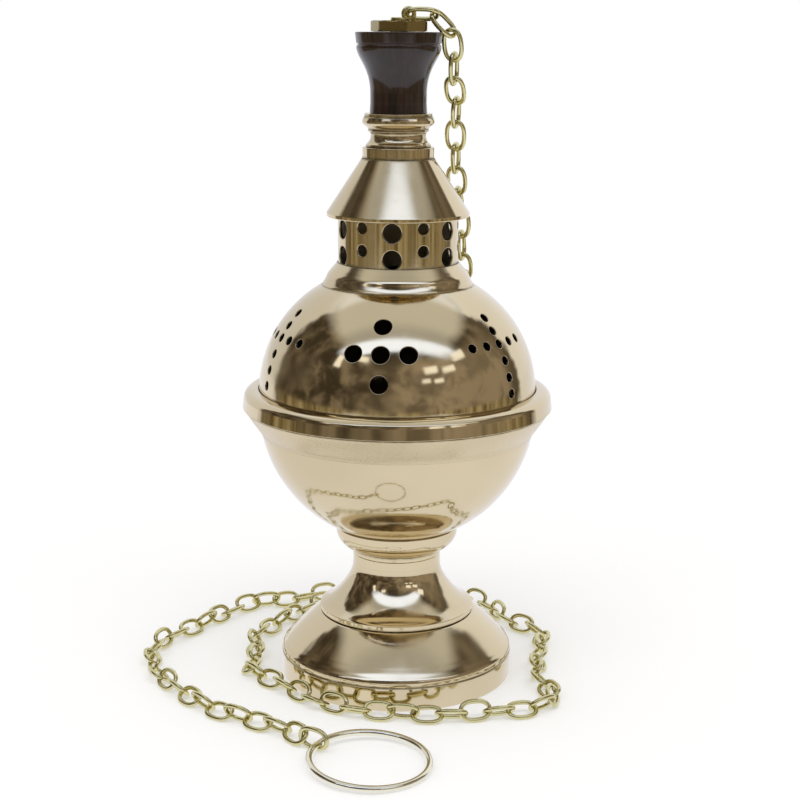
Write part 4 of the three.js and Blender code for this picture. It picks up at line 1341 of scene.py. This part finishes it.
# Colours are linear; azimuths and elevations in degrees. Pairs say where an edge starts and where it is full.
surroundings = {
    "wobble": (6.0, 3.0),  # the noise that shakes the edges
    "roomDark": rgb(0.055, 0.042, 0.028),
    "roomLight": rgb(0.37, 0.31, 0.25),
    "roomNoise": (3.2, 5.0, 0.62, 0.4),
    "roomPatches": (0.4, 0.66),
    "roomShare": 0.75,
    "lighterSide": (-40.0, 60.0, 0.0, 0.55),  # azimuths, and what they add
    "lighterUnder": (46.0, 34.0),
    "lowDark": rgb(0.13, 0.09, 0.035),
    "lowLight": rgb(0.46, 0.39, 0.25),
    "lowNoise": (0.11, 4.0, 0.7),
    "lowStreaks": (0.38, 0.62),
    "lowUnder": (-2.0, -5.5),
    "paperLeft": rgb(0.8, 0.81, 0.88),
    "paperRight": rgb(0.98, 1.0, 1.1),
    "paperSides": (-0.5, 0.5),
    "paperFrom": (117.0, 123.0),
    "paperTop": (53.0, 47.0),
    "paperShake": 16.0,
    "shade": (98.0, 116.0, 0.0, 0.6),  # beside the paper
    "windowColor": rgb(1.3, 1.3, 1.38),
    "windowShake": 5.0,
    "windows": [  # azimuth, elevation, half width, half height
        (52, 46, 8, 4), (63, 37, 7, 3.5), (31, 31, 6, 3), (48, 29, 6, 2.5), (25, 22, 4, 1.6), (37, 21, 4, 1.6),
        (-58, 33, 3, 5), (-34, 40, 5, 2.5),
    ],
    "windowEdge": 1.0,
}
# The patch overhead, on the plane one unit up, where the front is negative.
disc = {
    "centre": -0.1,
    "edge": (0.96, 0.64),
    "width": (-0.6, -0.3, 0.7, 0.95),  # shares of its width to its depth, at the front and behind
    "depth": 0.72,
    "front": (-0.87, -0.79),
    "lowest": (0.1, 0.3),  # sine of the elevation
    "shake": 0.12,
    "dim": rgb(0.5, 0.51, 0.54),
    "over": rgb(0.7, 0.71, 0.74),
    "overFrom": (-0.38, -0.1),
    "bright": rgb(1.3, 1.53, 2.3),
    "brightFrom": (-0.45, -0.56),
    "far": rgb(1.0, 1.06, 1.3),
    "farFrom": (0.3, 0.5),
}


# Whether a ray comes from the camera, and whether it was mirrored.
def mirroredRays(tree):
    path = addNode(tree, "LightPath").outputs
    return path["Is Camera Ray"], math2(tree, "MAXIMUM", path["Is Glossy Ray"], path["Is Transmission Ray"])


# The paper floor. For the camera and in mirrors it also glows, and more so far back. Mirrors show most of it as one
# even colour.
def addFloor(v):
    narrow, waist = v["floorWaist"]
    wide, wideFrom = v["floorSide"]
    right = [(narrow, v["floorFront"]), (narrow, waist), (wide, wideFrom), (wide, v["floorBack"])]
    edge = np.array(right + [(-a, b) for a, b in right[::-1]]) * mm
    mesh = bpy.data.meshes.new("floor")
    mesh.from_pydata([(a, b, 0) for a, b in edge.tolist()], [], [(0, 1, 6, 7), (1, 2, 3, 4, 5, 6)])
    made = addObject("floor", mesh)
    sockets = {"Base Color": v["floorColor"], "Roughness": v["floorRoughness"], "Specular IOR Level": 0.0}
    material, tree, shader = newMaterial("floor_paper", **sockets)
    fromCamera, mirrored = mirroredRays(tree)
    position = addNode(tree, "NewGeometry").outputs["Position"]
    depth = addNode(tree, "SeparateXYZ", {0: position}).outputs["Y"]
    near, far = v["farDepth"]
    strength = ramp(tree, depth, near * mm, far * mm, v["cameraGlow"], v["cameraGlow"] + v["farGlow"])
    seen = times(tree, math2(tree, "MAXIMUM", fromCamera, mirrored), strength)
    glow = addNode(tree, "Emission", {"Color": rgb(1, 1, 1), "Strength": seen}).outputs[0]
    both = addNode(tree, "AddShader", {0: shader.outputs[0], 1: glow}).outputs[0]
    even = addNode(tree, "Emission", {"Color": v["mirrorColor"], "Strength": 1.0}).outputs[0]
    mixed = addNode(tree, "MixShader", {0: times(tree, mirrored, v["mirrorShare"]), 1: both, 2: even}).outputs[0]
    feed(tree, tree.nodes["Material Output"].inputs["Surface"], mixed)
    mesh.materials.append(material)


# A brown room in front, streaked low down, with pale panes and shade towards the paper.
def paintRoom(tree, v, direction, azimuth, elevation, away, wobble):
    wide = noise(tree, direction, *v["roomNoise"])
    lighter = times(tree, ramp(tree, azimuth, *v["lighterSide"]), ramp(tree, elevation, *v["lighterUnder"]))
    light = plus(tree, times(tree, ramp(tree, wide, *v["roomPatches"]), v["roomShare"]), lighter, clamp=True)
    room = blendColor(tree, light, v["roomDark"], v["roomLight"])
    across = noise(tree, azimuth, *v["lowNoise"], dimensions="1D")
    streaks = blendColor(tree, ramp(tree, across, *v["lowStreaks"]), v["lowDark"], v["lowLight"])
    room = blendColor(tree, ramp(tree, elevation, *v["lowUnder"]), room, streaks)
    shaken = plus(tree, azimuth, times(tree, wobble, v["windowShake"]))
    for middle, up, halfWidth, halfHeight in v["windows"]:
        inside = []
        for value, centre, half in ((shaken, middle, halfWidth), (elevation, up, halfHeight)):
            apart = math2(tree, "ABSOLUTE", math2(tree, "SUBTRACT", value, centre))
            inside.append(ramp(tree, apart, half + v["windowEdge"], half - v["windowEdge"]))
        room = blendColor(tree, times(tree, *inside), room, v["windowColor"])
    return blendColor(tree, ramp(tree, away, *v["shade"]), room, v["roomDark"])


# The patch overhead, an ellipse cut off in front, dim in the middle and brightest towards the front.
def paintDisc(tree, v, x, y, z, wobble):
    above = math2(tree, "MAXIMUM", z, 0.05)
    flatX, flatY = (math2(tree, "DIVIDE", value, above) for value in (x, y))
    across = times(tree, flatX, ramp(tree, flatY, *v["width"]))
    deep = times(tree, math2(tree, "SUBTRACT", flatY, v["centre"]), v["depth"])
    radius = plus(tree, lengthOf(tree, across, deep), times(tree, wobble, v["shake"]))
    inside = math2(tree, "MINIMUM", ramp(tree, radius, *v["edge"]), ramp(tree, flatY, *v["front"]))
    color = v["dim"]
    for part in ("over", "bright", "far"):
        color = blendColor(tree, ramp(tree, flatY, *v[part + "From"]), color, v[part])
    return times(tree, inside, ramp(tree, z, *v["lowest"])), color


# What the metal mirrors, painted by direction: white paper behind and at the sides, a darker room in front, and a
# round pale patch overhead. The camera sees the plain background, and other rays meet plain pale light.
def addWorld(v, d, s):
    world = bpy.data.worlds.new("surroundings")
    bpy.context.scene.world = world
    world.use_nodes = True
    tree = world.node_tree
    tree.nodes.clear()
    out = addNode(tree, "OutputWorld")
    direction = addNode(tree, "TexCoord").outputs["Generated"]
    x, y, z = addNode(tree, "SeparateXYZ", {0: direction}).outputs
    azimuth = math2(tree, "DEGREES", math2(tree, "ARCTAN2", x, times(tree, y, -1.0)))
    elevation = math2(tree, "DEGREES", math2(tree, "ARCSINE", z))
    wobble = math2(tree, "SUBTRACT", noise(tree, direction, *v["wobble"]), 0.5)
    away = plus(tree, math2(tree, "ABSOLUTE", azimuth), times(tree, wobble, v["paperShake"]))
    seen = paintRoom(tree, v, direction, azimuth, elevation, away, wobble)
    paper = times(tree, ramp(tree, away, *v["paperFrom"]), ramp(tree, elevation, *v["paperTop"]))
    paperColor = blendColor(tree, ramp(tree, x, *v["paperSides"]), v["paperLeft"], v["paperRight"])
    seen = blendColor(tree, paper, seen, paperColor)
    inDisc, discColor = paintDisc(tree, d, x, y, z, wobble)
    seen = blendColor(tree, inDisc, seen, discColor)
    fromCamera, mirrored = mirroredRays(tree)
    fill, mirror, backdrop = (
        addNode(tree, "Background", {"Color": color, "Strength": strength}).outputs[0]
        for color, strength in ((rgb(1, 1, 1), s["fill"]), (seen, 1.0), (s["background"], 1.0)))
    first = addNode(tree, "MixShader", {0: mirrored, 1: fill, 2: mirror}).outputs[0]
    second = addNode(tree, "MixShader", {0: fromCamera, 1: first, 2: backdrop}).outputs[0]
    feed(tree, out.inputs["Surface"], second)


# A soft lamp overhead. Mirrors don't show it: what they show there is painted on the surroundings.
def addLamp(v):
    data = bpy.data.lights.new("overhead", "AREA")
    data.shape = "RECTANGLE"
    data.size, data.size_y = v["size"]
    data.energy = v["power"]
    data.color = v["color"]
    lamp = addObject("overhead", data)
    lamp.visible_glossy = False
    lamp.location = v["place"]
    lamp.rotation_mode = "QUATERNION"
    lamp.rotation_quaternion = (Vector(v["aim"]) - Vector(v["place"])).to_track_quat("-Z", "Y")


addFloor(stage)
addWorld(surroundings, disc, stage)
addLamp(overhead)
bpy.context.scene.view_settings.view_transform = "Standard"
print("stage made")
